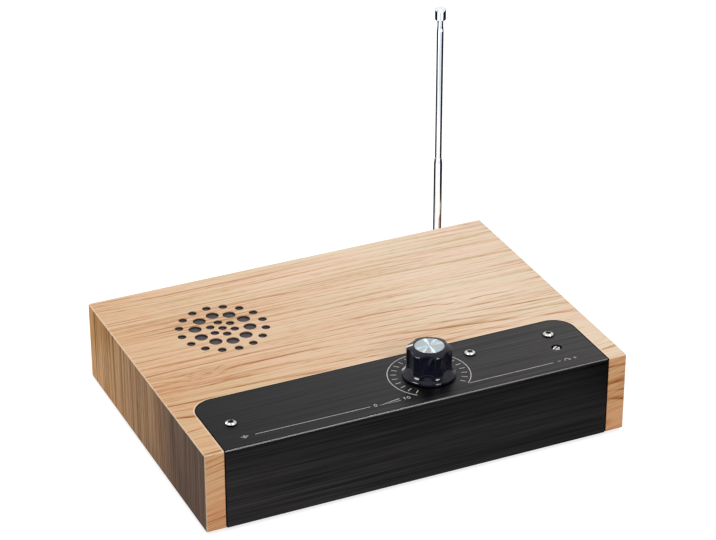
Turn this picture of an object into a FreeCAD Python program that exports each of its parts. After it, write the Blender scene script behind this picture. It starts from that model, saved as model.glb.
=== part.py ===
import FreeCAD, Part
import math
import os
from FreeCAD import Vector

# Theremin in a flat wooden case.  Millimetres.  +X right, +Y to the back, +Z up.
# The origin is on the table, in the middle of everything that the instrument covers.

# ---------------------------------------------------------------- driving dimensions

# wooden case
CASE_WIDTH = 250.0
CASE_DEPTH = 178.0
CASE_HEIGHT = 47.4
BOARD = 6.0                     # thickness of the veneered boards
EDGE_ROUND = 0.8                # outer edges of the case
MITRE_OVERRUN = 5.0             # how far the mitre planes run past the outer faces
BASE_BOARD = 3.0                # hardboard base, let in between the four walls
BASE_GAP = 0.3
BLOCK = 12.0                    # square corner blocks
FOOT_HEIGHT = 2.0
FOOT_DIAMETER = 12.0
FOOT_INSET = 20.0               # centre of a foot from the outer faces
BASE_SCREW = 3.0
BASE_SCREW_HEAD = 5.8
BASE_SCREW_LENGTH = 14.0

# control panel
SHEET = 1.0                     # sheet metal of the panel
PANEL_MARGIN = 11.8             # wood left on each side of the panel
PANEL_DEPTH = 51.2              # from the front of the case
PANEL_CORNER = 12.0
PANEL_BEND = 0.3                # inside radius of the bend
PANEL_GAP = 0.7

# screws through the panel
SCREW_DIAMETER = 3.0
SCREW_HEAD = 6.2
SCREW_HEAD_HEIGHT = 1.6
SCREW_RECESS = 3.4
SCREW_RECESS_DEPTH = 1.3
HOLE_CLEARANCE = 0.15           # on the radius, screws in plain holes
THREAD_CLEARANCE = 0.05         # on the radius, screws in their threads
PANEL_SCREW_LENGTH = 6.0
GROUND_SCREW_LENGTH = 14.0
SCREW_NUT = 5.5                 # across flats
SCREW_NUT_THICKNESS = 2.4
WASHER = 0.5
LUG = 0.5                       # sheet of the solder lugs
LUG_WIDTH = 2.6
LUG_TAIL = 9.0
LUG_EYE = 1.2                   # hole for the lead, near the end of the tail
LUG_EYE_FROM_END = 1.4
GROUND_LUG_TURN = 35.0
GROUND_FROM_EDGE = 13.0         # ground screw from the left edge of the panel
GROUND_FROM_FRONT = 24.2
KNOB_FROM_MIDDLE = 16.6         # knob axis, to the right of the middle of the case
KNOB_FROM_FRONT = 26.0
MIDDLE_SCREW_FROM_KNOB = 30.5
RIGHT_SCREW_FROM_EDGE = 17.2    # right screw from the right edge of the panel
SCREWS_FROM_FRONT = 37.1
TRIMMER_FROM_SCREW = 2.5        # trimmer, to the left of the right screw
TRIMMER_FROM_FRONT = 22.75
ADJUST_HOLE = 6.0

# volume knob
SKIRT_DIAMETER = 29.6
SKIRT_RIM = 1.2
SKIRT_HEIGHT = 5.0
KNOB_DIAMETER = 25.0
KNOB_HEIGHT = 17.6
KNOB_TOP_RIM = 0.6              # level rim round the cap
KNOB_TOP_DROP = 1.3             # slope of the top, from that rim to its edge
KNOB_EDGE = 0.4                 # chamfer at the edge of the top
KNOB_DRAFT = 0.2                # on the radius, from the skirt to the top
KNOB_GAP = 0.6                  # skirt above the panel
LOBES = 6
FLUTE_RADIUS = 9.0
FLUTE_DEPTH = 1.7
CAP_DIAMETER = 16.4
CAP_THICKNESS = 1.2
CAP_CROWN = 0.35
CAP_CLEARANCE = 0.05            # on the radius
INSERT_DIAMETER = 10.0
KNOB_HOLLOW = 17.0
KNOB_HOLLOW_HEIGHT = 4.4
SET_SCREW = 3.0
SET_SCREW_HEIGHT = 10.0
SET_SCREW_ANGLE = 60.0
SET_SCREW_SOCKET = 1.5

# volume potentiometer
POT_DIAMETER = 16.5
POT_HEIGHT = 8.0
SWITCH_HEIGHT = 6.0
BUSHING_DIAMETER = 7.0
BUSHING_REACH = 4.0             # above the panel
SHAFT_DIAMETER = 6.0
SHAFT_REACH = 13.4              # above the panel
SHAFT_FLAT = 4.5                # across the flat of the shaft
RUNNING_CLEARANCE = 0.05        # on the radius, everywhere that one metal piece turns in another
SHAFT_END_PLAY = 0.2
POT_NUT = 10.0                  # across flats
POT_NUT_THICKNESS = 2.0
TERMINAL = 0.8                  # solder tags of the potentiometer and its switch
TERMINAL_WIDTH = 2.2
TERMINAL_PITCH = 5.0
TERMINAL_LENGTH = 6.0
SWITCH_TERMINAL_PITCH = 7.0
SWITCH_TERMINAL_LENGTH = 4.0

# circuit board
SPACER = 14.0
SPACER_FLATS = 5.5
CIRCUIT_THICKNESS = 1.6
CIRCUIT_MARGIN = 9.0            # beyond the spacers, left and right
CIRCUIT_FRONT = 10.0            # in front of the trimmer
CIRCUIT_DEPTH = 56.0
SPACER_HOLE = 8.0
POT_HOLE = 20.0
TRIMMER_SIZE = 10.0
TRIMMER_HEIGHT = 4.5
TRIMMER_STEM = 4.2
TRIMMER_SUNK = 0.3              # end of the stem below the face of the panel
TRIMMER_HOLE = 9.0
COIL_CAN = 7.0
COIL_CAN_HEIGHT = 7.6
COIL_CANS = 3
COILS_FROM_BACK = 12.0          # middle of the row of coils
CHIPS_FROM_LEFT = 12.0          # left ends of both chips
CHIP_WIDTH = 6.4
LONG_CHIP = 17.8
SHORT_CHIP = 9.4
LONG_CHIP_FROM_FRONT = 10.0
SHORT_CHIP_FROM_FRONT = 26.0
LEG_PITCH = 2.54
LEG_SHEET = 0.25
SMALL_CAN = 5.0                 # diameters and heights of the electrolytic capacitors
SMALL_CAN_HEIGHT = 7.0
LARGE_CAN = 6.3
LARGE_CAN_HEIGHT = 7.5
FILM_LENGTH = 7.0
FILM_WIDTH = 2.8
FILM_HEIGHT = 6.0
FILM_PITCH = 8.5
FILM_ROW_PITCH = 6.0
FILM_FROM_BACK = 5.2
FILM_FROM_RIGHT = 2.0           # right-hand film capacitors from the edge of the board
RESISTOR_LENGTH = 6.0
RESISTOR_PITCH = 3.6
RESISTORS_FROM_RIGHT = 21.3
RIGHT_RESISTORS_FROM_FRONT = 27.0
LEFT_RESISTORS_FROM_FRONT = 30.5
PAD_INSET = 3.0                 # solder pads from the edge of the board
PAD_PITCH = 4.0

# loudspeaker and its grille
SPEAKER_DIAMETER = 66.0
SPEAKER_FROM_LEFT = 59.0
SPEAKER_FROM_BACK = 57.9
GRILLE_SKIN = 1.5               # wood left in front of the loudspeaker
GRILLE_HOLE_COUNTS = (1, 6, 10, 16)
GRILLE_RING_RADII = (0.0, 6.9, 15.4, 24.3)
GRILLE_HOLE_DIAMETERS = (5.0, 5.0, 7.5, 5.0)
POCKET_GAP = 0.5
CLOTH = 0.4
GASKET = 1.2
GASKET_WIDTH = 2.5
BASKET_SHEET = 0.8
BASKET_DEPTH = 13.8
BASKET_BACK_DIAMETER = 37.0
FLANGE_WIDTH = 4.2
CONE_DEPTH = 10.0
COIL_DIAMETER = 14.2
COIL_WALL = 0.4
COIL_GAP = 0.5                  # each side of the voice coil
MAGNET_DIAMETER = 36.0
MAGNET_THICKNESS = 5.0
YOKE_THICKNESS = 2.0
CONE_SHEET = 0.4
SURROUND_WIDTH = 4.0
SURROUND_SHEET = 0.3
SPEAKER_TAG_PITCH = 7.0
SPEAKER_TAG_LENGTH = 3.0
SPEAKER_TERMINAL_BOARD = 1.2
SPEAKER_TERMINAL_TURN = -60.0
CLAMPS = 4
CLAMP_WIDTH = 8.0
CLAMP_SHEET = 1.0
CLAMP_REACH = 10.0
CLAMP_SCREW = 2.6
CLAMP_SCREW_HEAD = 5.0
CLAMP_SCREW_HEAD_HEIGHT = 1.6
CLAMP_SCREW_DEPTH = 4.6

# battery
BATTERY_LENGTH = 46.0
BATTERY_WIDTH = 26.5
BATTERY_HEIGHT = 17.5
BATTERY_FROM_RIGHT = 34.0
BATTERY_FROM_BACK = 40.0
CONTACT_PITCH = 12.7
CONTACT_HEIGHT = 2.5
CONTACT_DIAMETER = 6.0
SNAP_THICKNESS = 3.6
SNAP_HEIGHT = 12.0
CLIP_SHEET = 0.8
CLIP_LENGTH = 20.0
CLIP_LIP = 3.0
RIVET = 2.4
RIVET_CLEARANCE = 0.05

# antenna
ANTENNA_FROM_RIGHT = 23.8
ELBOW_HEIGHT = 9.0              # elbow pin above the table
ELBOW_OFFSET = 9.5              # elbow pin behind the case
ELBOW_RADIUS = 3.6
TONGUE = 2.4
EAR = 1.6
PIN_DIAMETER = 2.0
MOUNT_DIAMETER = 9.0
MOUNT_THICKNESS = 2.0
SPIGOT = 5.0
SPIGOT_FLARE = 6.2
FLARE = 0.8                     # length of the flared end that keeps the fork on its spigot
FORK_RING = 3.4
ANTENNA_SCREW_LENGTH = 11.0
PLUG = 2.0                      # length of the plug in the lower tube
SECTION_END_PLAY = 0.2
TUBE_DIAMETERS = (5.0, 4.0, 3.2, 2.4)
TUBE_WALL = 0.3
MOUTH_LENGTHS = (3.5, 2.5, 2.0)
COLLARS = (5.0, 4.0, 3.0)       # sliding collars at the feet of the three inner sections
COLLAR_TAPER = 0.3
LOWER_TUBE_ABOVE_CASE = 42.0
UPPER_TUBE_ABOVE_CASE = 126.6
INNER_SECTION_SHORTER = 2.0     # each inner section than the one around it
NECK_DIAMETER = 3.4
NECK_LENGTH = 3.5
TIP_DIAMETER = 6.4
TIP_LENGTH = 8.5
TIP_BEVEL = 1.3
TIP_ROUND = 1.8

# leads
LEAD_DIAMETER = 1.2

# ---------------------------------------------------------------- derived places

UP = Vector(0, 0, 1)
DOWN = Vector(0, 0, -1)
RIGHT = Vector(1, 0, 0)
BACKWARDS = Vector(0, 1, 0)
FORWARDS = Vector(0, -1, 0)

OVERALL_DEPTH = CASE_DEPTH + ELBOW_OFFSET + ELBOW_RADIUS
LEFT_FACE = -CASE_WIDTH / 2
RIGHT_FACE = CASE_WIDTH / 2
FRONT_FACE = -OVERALL_DEPTH / 2
BACK_FACE = FRONT_FACE + CASE_DEPTH
UNDERSIDE = FOOT_HEIGHT
TOP_FACE = UNDERSIDE + CASE_HEIGHT
CEILING = TOP_FACE - BOARD
FLOOR = UNDERSIDE + BASE_BOARD

PANEL_BACK = FRONT_FACE + PANEL_DEPTH
PANEL_HALF = CASE_WIDTH / 2 - PANEL_MARGIN
PANEL_UNDER = TOP_FACE - SHEET
KNOB_AXIS = Vector(KNOB_FROM_MIDDLE, FRONT_FACE + KNOB_FROM_FRONT, TOP_FACE)
GROUND_SCREW = Vector(GROUND_FROM_EDGE - PANEL_HALF, FRONT_FACE + GROUND_FROM_FRONT, TOP_FACE)
MIDDLE_SCREW = Vector(KNOB_AXIS.x + MIDDLE_SCREW_FROM_KNOB, FRONT_FACE + SCREWS_FROM_FRONT, TOP_FACE)
RIGHT_SCREW = Vector(PANEL_HALF - RIGHT_SCREW_FROM_EDGE, FRONT_FACE + SCREWS_FROM_FRONT, TOP_FACE)
TRIMMER_AXIS = Vector(RIGHT_SCREW.x - TRIMMER_FROM_SCREW, FRONT_FACE + TRIMMER_FROM_FRONT, TOP_FACE)
SCREW_RADIUS = SCREW_DIAMETER / 2
PLAIN_HOLE = SCREW_DIAMETER + 2 * HOLE_CLEARANCE
GROUND_LUG_PLACE = Vector(GROUND_SCREW.x, GROUND_SCREW.y, CEILING - WASHER - LUG)

INSERT_LENGTH = KNOB_HEIGHT - KNOB_HOLLOW_HEIGHT - CAP_THICKNESS - 1.0
SET_SCREW_START = SHAFT_FLAT - SHAFT_DIAMETER / 2
POT_FACE = Vector(KNOB_AXIS.x, KNOB_AXIS.y, PANEL_UNDER)
SHAFT_BORE = SHAFT_DIAMETER + 2 * RUNNING_CLEARANCE

CIRCUIT_TOP = PANEL_UNDER - SPACER
CIRCUIT_UNDER = CIRCUIT_TOP - CIRCUIT_THICKNESS
CIRCUIT_LEFT = MIDDLE_SCREW.x - CIRCUIT_MARGIN
CIRCUIT_RIGHT = RIGHT_SCREW.x + CIRCUIT_MARGIN
CIRCUIT_NEAR = TRIMMER_AXIS.y - CIRCUIT_FRONT
CIRCUIT_WIDTH = CIRCUIT_RIGHT - CIRCUIT_LEFT

SPEAKER_AXIS = Vector(LEFT_FACE + SPEAKER_FROM_LEFT, BACK_FACE - SPEAKER_FROM_BACK, TOP_FACE)
CLOTH_FACE = TOP_FACE - GRILLE_SKIN
FLANGE_FACE = CLOTH_FACE - CLOTH - GASKET
SPEAKER_RADIUS = SPEAKER_DIAMETER / 2
FLANGE_INNER = SPEAKER_RADIUS - FLANGE_WIDTH
BASKET_BACK = BASKET_BACK_DIAMETER / 2
POLE = COIL_DIAMETER / 2 - COIL_WALL - COIL_GAP
PLATE_BORE = COIL_DIAMETER / 2 + COIL_GAP
SHELF_HEIGHT = -(CONE_DEPTH + 1.0)
ROLL_ROOM = SURROUND_WIDTH / 2 + 1.0
SPEAKER_TAG_HEIGHT = 0.9 - BASKET_DEPTH
CONE_RADIUS = FLANGE_INNER - 0.2 - SURROUND_WIDTH

BATTERY_END = RIGHT_FACE - BATTERY_FROM_RIGHT
BATTERY_Y = BACK_FACE - BATTERY_FROM_BACK
BATTERY_Z = FLOOR + CLIP_SHEET

ELBOW = Vector(RIGHT_FACE - ANTENNA_FROM_RIGHT, BACK_FACE + ELBOW_OFFSET, ELBOW_HEIGHT)
ANTENNA_AXIS = Vector(ELBOW.x, BACK_FACE, ELBOW.z)
ANTENNA_LUG_PLACE = Vector(ELBOW.x, BACK_FACE - BOARD - WASHER - LUG, ELBOW.z)
TUBE_FOOT = ELBOW_HEIGHT + ELBOW_RADIUS + 0.8
TUBE_1_TOP = TOP_FACE + LOWER_TUBE_ABOVE_CASE
TUBE_2_TOP = TOP_FACE + UPPER_TUBE_ABOVE_CASE
TUBE_2_FOOT = TUBE_1_TOP - MOUTH_LENGTHS[0] - COLLARS[0] - 2 * SECTION_END_PLAY
TUBE_3_FOOT = TUBE_2_FOOT + INNER_SECTION_SHORTER
ROD_FOOT = TUBE_3_FOOT + INNER_SECTION_SHORTER


# ---------------------------------------------------------------- small makers

def block(x0, x1, y0, y1, z0, z1):
    return Part.makeBox(x1 - x0, y1 - y0, z1 - z0, Vector(x0, y0, z0))


def rod(diameter, length, start, direction=UP):
    return Part.makeCylinder(diameter / 2, length, start, direction)


def ring(outer, inner, length, start, direction=UP):
    return rod(outer, length, start, direction).cut(rod(inner, length, start, direction))


def outline(points):
    return Part.Face(Part.makePolygon(points + points[:1]))


def line(*points):
    """Edges of a run of straight lines through (radius, height) points, for a turned outline."""
    corners = [Vector(r, 0, h) for r, h in points]
    return [Part.makeLine(a, b) for a, b in zip(corners, corners[1:])]


def arc(*points):
    """Edge of a round stretch through three (radius, height) points, for a turned outline."""
    return Part.Arc(*[Vector(r, 0, h) for r, h in points]).toShape()


def crown(radius, low, rise):
    """Arc of a dome from its rim to its top on the axis."""
    sphere = (radius ** 2 + rise ** 2) / (2 * rise)
    half = math.asin(radius / sphere) / 2
    middle = (sphere * math.sin(half), low + rise - sphere * (1 - math.cos(half)))
    return arc((radius, low), middle, (0, low + rise))


def revolved(edges, centre, direction=UP):
    body = Part.Face(Part.Wire(edges)).revolve(Vector(), UP, 360)
    body.Placement = FreeCAD.Placement(centre, FreeCAD.Rotation(UP, direction))
    return body


def turned(profile, centre, direction=UP):
    """Outline of (radius, height) points turned about an axis through centre."""
    return revolved(line(*profile, profile[0]), centre, direction)


def hexagonal(flats, length, start, direction=UP):
    corner = flats / math.sqrt(3)
    points = [Vector(corner * math.cos(a), corner * math.sin(a), 0)
              for a in (math.radians(60 * k) for k in range(6))]
    body = outline(points).extrude(UP * length)
    body.Placement = FreeCAD.Placement(start, FreeCAD.Rotation(UP, direction))
    return body


def around(shape, centre, count, first=0.0):
    """Copies of a shape spaced evenly about a vertical axis."""
    copies = []
    for k in range(count):
        copy = shape.copy()
        copy.rotate(centre, UP, first + 360.0 * k / count)
        copies.append(copy)
    return copies


def group(shapes):
    return Part.makeCompound(shapes)


# ---------------------------------------------------------------- wooden case

def case_envelope():
    body = block(LEFT_FACE, RIGHT_FACE, FRONT_FACE, BACK_FACE, UNDERSIDE, TOP_FACE)
    return body.makeFillet(EDGE_ROUND, body.Edges)


def mitred_board(corners_at):
    """Board whose edges slope at 45 degrees: the case's envelope inside four mitre planes.

    corners_at gives the board's four corners at an inset from the outer faces.
    """
    inner = corners_at(BOARD)
    outer = corners_at(-MITRE_OVERRUN)
    faces = [outline(inner), outline(outer)]
    for k in range(4):
        n = (k + 1) % 4
        faces.append(outline([inner[k], inner[n], outer[n], outer[k]]))
    return Part.makeSolid(Part.makeShell(faces)).common(case_envelope())


def top_corners(inset):
    x = RIGHT_FACE - inset
    z = TOP_FACE - inset
    return [Vector(-x, FRONT_FACE + inset, z), Vector(x, FRONT_FACE + inset, z),
            Vector(x, BACK_FACE - inset, z), Vector(-x, BACK_FACE - inset, z)]


def side_corners(sign, inset):
    x = sign * (RIGHT_FACE - inset)
    near = FRONT_FACE + inset
    far = BACK_FACE - inset
    low = UNDERSIDE - MITRE_OVERRUN
    return [Vector(x, near, low), Vector(x, far, low),
            Vector(x, far, TOP_FACE - inset), Vector(x, near, TOP_FACE - inset)]


def end_corners(sign, inset):
    x = RIGHT_FACE - inset
    y = BACK_FACE - inset if sign > 0 else FRONT_FACE + inset
    low = UNDERSIDE - MITRE_OVERRUN
    high = TOP_FACE - inset
    return [Vector(-x, y, low), Vector(x, y, low), Vector(x, y, high), Vector(-x, y, high)]


def bent_sheet(half_width, back, corner, thickness, bottom):
    """Sheet bent over the top front edge of the case, with its two back corners rounded.

    Its inner faces lie one sheet's thickness deep in the wood.
    """
    y = FRONT_FACE + SHEET
    z = TOP_FACE - SHEET
    hub = Vector(-half_width, y + PANEL_BEND, z - PANEL_BEND)
    slant = Vector(0, -math.sqrt(0.5), math.sqrt(0.5))
    inner = [hub + FORWARDS * PANEL_BEND, hub + slant * PANEL_BEND, hub + UP * PANEL_BEND]
    reach = PANEL_BEND + thickness
    outer = [hub + UP * reach, hub + slant * reach, hub + FORWARDS * reach]
    foot_in = Vector(-half_width, y, bottom)
    foot_out = Vector(-half_width, y - thickness, bottom)
    end_in = Vector(-half_width, back, z)
    end_out = Vector(-half_width, back, z + thickness)
    edges = [Part.makeLine(foot_in, inner[0]), Part.Arc(*inner).toShape(), Part.makeLine(inner[2], end_in),
             Part.makeLine(end_in, end_out), Part.makeLine(end_out, outer[0]), Part.Arc(*outer).toShape(),
             Part.makeLine(outer[2], foot_out), Part.makeLine(foot_out, foot_in)]
    sheet = Part.Face(Part.Wire(edges)).extrude(RIGHT * (2 * half_width))
    plan = block(-half_width, half_width, y - 2 * thickness, back, bottom, z + 2 * thickness)
    corners = [e for e in plan.Edges
               if abs(e.BoundBox.YMin - back) < 1e-6 and e.BoundBox.ZLength > e.BoundBox.XLength]
    return sheet.common(plan.makeFillet(corner, corners))


def panel_recess():
    cutter_thickness = SHEET + EDGE_ROUND
    return bent_sheet(PANEL_HALF + PANEL_GAP, PANEL_BACK + PANEL_GAP, PANEL_CORNER + PANEL_GAP,
                      cutter_thickness, UNDERSIDE - SHEET)


def grille_holes():
    """Rings of round holes; the first hole of each ring is at the back."""
    holes = []
    for count, ring_radius, diameter in zip(GRILLE_HOLE_COUNTS, GRILLE_RING_RADII, GRILLE_HOLE_DIAMETERS):
        start = SPEAKER_AXIS + Vector(0, ring_radius, -BOARD)
        holes += around(rod(diameter, 2 * BOARD, start), SPEAKER_AXIS, count)
    return holes


def speaker_pocket():
    start = Vector(SPEAKER_AXIS.x, SPEAKER_AXIS.y, CEILING - BOARD)
    return rod(SPEAKER_DIAMETER + 2 * POCKET_GAP, CLOTH_FACE - start.z, start)


def through_top(diameter, axis):
    return rod(diameter, 2 * BOARD, Vector(axis.x, axis.y, CEILING - BOARD / 2))


def top_board():
    """Top of the case, with the seat of the panel, the grille and the room behind both."""
    board = mitred_board(top_corners)
    cutters = [panel_recess(), speaker_pocket(), through_top(POT_HOLE, KNOB_AXIS),
               through_top(SPACER_HOLE, MIDDLE_SCREW), through_top(SPACER_HOLE, RIGHT_SCREW),
               through_top(TRIMMER_HOLE, TRIMMER_AXIS), through_top(PLAIN_HOLE, GROUND_SCREW)]
    cutters += grille_holes()
    pilot_depth = CLAMP_SCREW_DEPTH + 0.3
    cutters += [rod(CLAMP_SCREW + 2 * THREAD_CLEARANCE, pilot_depth, place) for place in clamp_screw_places()]
    return board.cut(cutters)


def front_board():
    board = mitred_board(lambda inset: end_corners(-1, inset))
    return board.cut(panel_recess())


def back_board():
    board = mitred_board(lambda inset: end_corners(1, inset))
    return board.cut(rod(PLAIN_HOLE, 2 * BOARD, ANTENNA_AXIS + BACKWARDS * (BOARD / 2), FORWARDS))


def side_board(sign):
    return mitred_board(lambda inset: side_corners(sign, inset))


def inside_corners(inset):
    """Plan places at the four inside corners of the case, inset from the walls."""
    x = CASE_WIDTH / 2 - BOARD - inset
    near = FRONT_FACE + BOARD + inset
    far = BACK_FACE - BOARD - inset
    return [(-x, near), (x, near), (x, far), (-x, far)]


def base_screw(x, y):
    """Countersunk wood screw with a cross recess, driven up through the base."""
    place = Vector(x, y, UNDERSIDE)
    shank = BASE_SCREW / 2
    head = BASE_SCREW_HEAD / 2
    point = 2.0
    body = turned([(0, 0), (head, 0), (shank, head - shank), (shank, BASE_SCREW_LENGTH - point),
                   (0, BASE_SCREW_LENGTH)], place)
    return body.cut(cross_recess(place, UP, 3.0, 1.0))


def base_screws():
    return group([base_screw(x, y) for x, y in inside_corners(BLOCK / 2)])


def base_screw_hole(x, y):
    shank = BASE_SCREW / 2 + THREAD_CLEARANCE
    head = BASE_SCREW_HEAD / 2 + THREAD_CLEARANCE
    overrun = 0.5
    top = BASE_SCREW_LENGTH + overrun
    return turned([(0, -overrun), (head, -overrun), (head, 0), (shank, head - shank), (shank, top), (0, top)],
                  Vector(x, y, UNDERSIDE))


def cross_recess(centre, inwards, span, depth):
    """Cross-head recess: two crossed slots that narrow to half as they go in."""
    def section(length, width, height):
        return outline([Vector(-length, -width, height), Vector(length, -width, height),
                        Vector(length, width, height), Vector(-length, width, height)]).OuterWire

    half = span / 2
    wide = span / 7
    arms = []
    for turn in (20, 110):
        arm = Part.makeLoft([section(half, wide, -0.01), section(half / 2, wide / 2, depth)], True, True)
        arm.rotate(Vector(), UP, turn)
        arms.append(arm)
    recess = arms[0].fuse(arms[1])
    recess.Placement = FreeCAD.Placement(centre, FreeCAD.Rotation(UP, inwards)).multiply(recess.Placement)
    return recess


def base_board():
    gap = BOARD + BASE_GAP
    board = block(LEFT_FACE + gap, RIGHT_FACE - gap, FRONT_FACE + gap, BACK_FACE - gap, UNDERSIDE, FLOOR)
    holes = [base_screw_hole(x, y) for x, y in inside_corners(BLOCK / 2)]
    holes += [clip_rivet(x, RIVET_CLEARANCE) for x in clip_rivet_places()]
    return board.cut(holes)


def corner_blocks():
    """Square blocks glued into the corners, each with its inner edge chamfered."""
    blocks = []
    half = BLOCK / 2
    for (x, y), (free_x, free_y) in zip(inside_corners(half), inside_corners(BLOCK)):
        body = block(x - half, x + half, y - half, y + half, FLOOR, CEILING)
        free = [e for e in body.Edges if e.BoundBox.ZLength > BLOCK
                and abs(e.BoundBox.XMin - free_x) < 1e-6 and abs(e.BoundBox.YMin - free_y) < 1e-6]
        body = body.makeChamfer(BLOCK / 3, free)
        blocks.append(body.cut(base_screw_hole(x, y)))
    return group(blocks)


def foot(x, y):
    """Rubber foot: a low disc with its lower rim chamfered, stuck under the base."""
    radius = FOOT_DIAMETER / 2
    rim = FOOT_HEIGHT * 0.6
    return turned([(0, 0), (radius * 0.85, 0), (radius, rim), (radius, FOOT_HEIGHT), (0, FOOT_HEIGHT)],
                  Vector(x, y, 0))


def feet():
    x = CASE_WIDTH / 2 - FOOT_INSET
    return group([foot(sign * x, y) for sign in (-1, 1)
                  for y in (FRONT_FACE + FOOT_INSET, BACK_FACE - FOOT_INSET)])


# ---------------------------------------------------------------- control panel and its screws

def control_panel():
    """Sheet over the top and the front of the case, with holes for what passes through it."""
    sheet = bent_sheet(PANEL_HALF, PANEL_BACK, PANEL_CORNER, SHEET, UNDERSIDE)
    holes = [through_top(PLAIN_HOLE, place) for place in (GROUND_SCREW, MIDDLE_SCREW, RIGHT_SCREW)]
    holes += [through_top(ADJUST_HOLE, TRIMMER_AXIS),
              through_top(BUSHING_DIAMETER + 2 * HOLE_CLEARANCE, KNOB_AXIS)]
    return sheet.cut(holes)


def pan_screw(centre, length, direction=UP):
    """Machine screw; centre is under its head and direction is the way that the head faces."""
    head = SCREW_HEAD / 2
    rim = 0.5
    chamfer = 0.4
    edges = line((0, SCREW_HEAD_HEIGHT), (0, -length), (SCREW_RADIUS - chamfer, -length),
                 (SCREW_RADIUS, chamfer - length), (SCREW_RADIUS, 0), (head, 0), (head, rim))
    body = revolved(edges + [crown(head, rim, SCREW_HEAD_HEIGHT - rim)], Vector())
    body = body.cut(cross_recess(Vector(0, 0, SCREW_HEAD_HEIGHT), DOWN, SCREW_RECESS, SCREW_RECESS_DEPTH))
    body.Placement = FreeCAD.Placement(centre, FreeCAD.Rotation(UP, direction))
    return body


def spacer_screws():
    """Four like screws: two hold the spacers under the panel, two hold the board on the spacers."""
    screws = []
    for place in (MIDDLE_SCREW, RIGHT_SCREW):
        screws.append(pan_screw(place, PANEL_SCREW_LENGTH))
        screws.append(pan_screw(Vector(place.x, place.y, CIRCUIT_UNDER), PANEL_SCREW_LENGTH, DOWN))
    return group(screws)


def ground_screw():
    return pan_screw(GROUND_SCREW, GROUND_SCREW_LENGTH)


def ring_lug(centre, direction, towards):
    """Solder lug: a flat ring on the screw, with a tail that has an eye for the lead."""
    half = LUG_WIDTH / 2
    body = rod(SCREW_HEAD - 0.6, LUG, Vector()).fuse(block(0, LUG_TAIL, -half, half, 0, LUG))
    body = body.cut([rod(PLAIN_HOLE, LUG, Vector()),
                     rod(LUG_EYE, LUG, Vector(LUG_TAIL - LUG_EYE_FROM_END, 0, 0))])
    body.rotate(Vector(), UP, towards)
    body.Placement = FreeCAD.Placement(centre, FreeCAD.Rotation(UP, direction)).multiply(body.Placement)
    return body


def lug_washer(lug_place, direction):
    return ring(SCREW_HEAD, PLAIN_HOLE, WASHER, lug_place + direction * LUG, direction)


def washers():
    return group([lug_washer(GROUND_LUG_PLACE, UP), lug_washer(ANTENNA_LUG_PLACE, BACKWARDS)])


def ring_lugs():
    return group([ring_lug(GROUND_LUG_PLACE, UP, GROUND_LUG_TURN),
                  ring_lug(ANTENNA_LUG_PLACE, BACKWARDS, -90.0)])


def ground_nut():
    start = GROUND_LUG_PLACE + DOWN * SCREW_NUT_THICKNESS
    nut = hexagonal(SCREW_NUT, SCREW_NUT_THICKNESS, start)
    return nut.cut(rod(SCREW_DIAMETER + 2 * THREAD_CLEARANCE, SCREW_NUT_THICKNESS, start))


# ---------------------------------------------------------------- volume knob

def flute_cutter():
    """One flute: a hollow down the body that runs out over the skirt as a flat facet."""
    body = KNOB_DIAMETER / 2
    skirt = SKIRT_DIAMETER / 2
    width = SKIRT_DIAMETER
    top = KNOB_HEIGHT + 1
    beyond = 2 * skirt
    facet_in = body - 0.6
    facet_out = skirt - 0.8
    slope = (SKIRT_HEIGHT - SKIRT_RIM) / (facet_out - facet_in)
    floor = body - FLUTE_DEPTH
    inmost = floor - 1
    inmost_height = SKIRT_HEIGHT + slope * (facet_in - inmost)

    def upright(points):
        return outline([Vector(r, -width, h) for r, h in points]).extrude(BACKWARDS * (2 * width))

    hollow = rod(2 * FLUTE_RADIUS, top, Vector(floor + FLUTE_RADIUS, 0, 0))
    above_facet = upright([(inmost, top), (inmost, inmost_height), (facet_out, SKIRT_RIM),
                           (beyond, SKIRT_RIM), (beyond, top)])
    facet = upright([(facet_in, SKIRT_HEIGHT), (facet_out, SKIRT_RIM), (beyond, SKIRT_RIM),
                     (beyond, SKIRT_HEIGHT)])
    cutter = hollow.common(above_facet).fuse(facet)
    cutter.translate(KNOB_AXIS + UP * KNOB_GAP)
    return cutter


def knob_body():
    """Moulded knob: fluted body, flared skirt, top sloping down from the cap, hollow underneath."""
    base = KNOB_AXIS + UP * KNOB_GAP
    body = KNOB_DIAMETER / 2
    skirt = SKIRT_DIAMETER / 2
    top = body - KNOB_DRAFT
    rim = CAP_DIAMETER / 2 + CAP_CLEARANCE + KNOB_TOP_RIM
    edge = KNOB_HEIGHT - KNOB_TOP_DROP
    profile = [(0, 0), (skirt, 0), (skirt, SKIRT_RIM), (body, SKIRT_HEIGHT), (top, edge - KNOB_EDGE),
               (top - KNOB_EDGE, edge), (rim, KNOB_HEIGHT), (0, KNOB_HEIGHT)]
    first_flute = 90.0 + 180.0 / LOBES
    knob = turned(profile, base).cut(around(flute_cutter(), KNOB_AXIS, LOBES, first_flute))
    hollow = rod(KNOB_HOLLOW, KNOB_HOLLOW_HEIGHT, base)
    insert = rod(INSERT_DIAMETER, INSERT_LENGTH, base + UP * KNOB_HOLLOW_HEIGHT)
    seat = rod(CAP_DIAMETER + 2 * CAP_CLEARANCE, CAP_THICKNESS, base + UP * (KNOB_HEIGHT - CAP_THICKNESS))
    return knob.cut([hollow, insert, seat, set_screw_hole()])


def set_screw_direction():
    angle = math.radians(SET_SCREW_ANGLE)
    return Vector(math.cos(angle), math.sin(angle), 0)


def set_screw_hole():
    start = KNOB_AXIS + UP * (KNOB_GAP + SET_SCREW_HEIGHT)
    return rod(SET_SCREW + 2 * THREAD_CLEARANCE, KNOB_DIAMETER, start, set_screw_direction())


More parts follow.
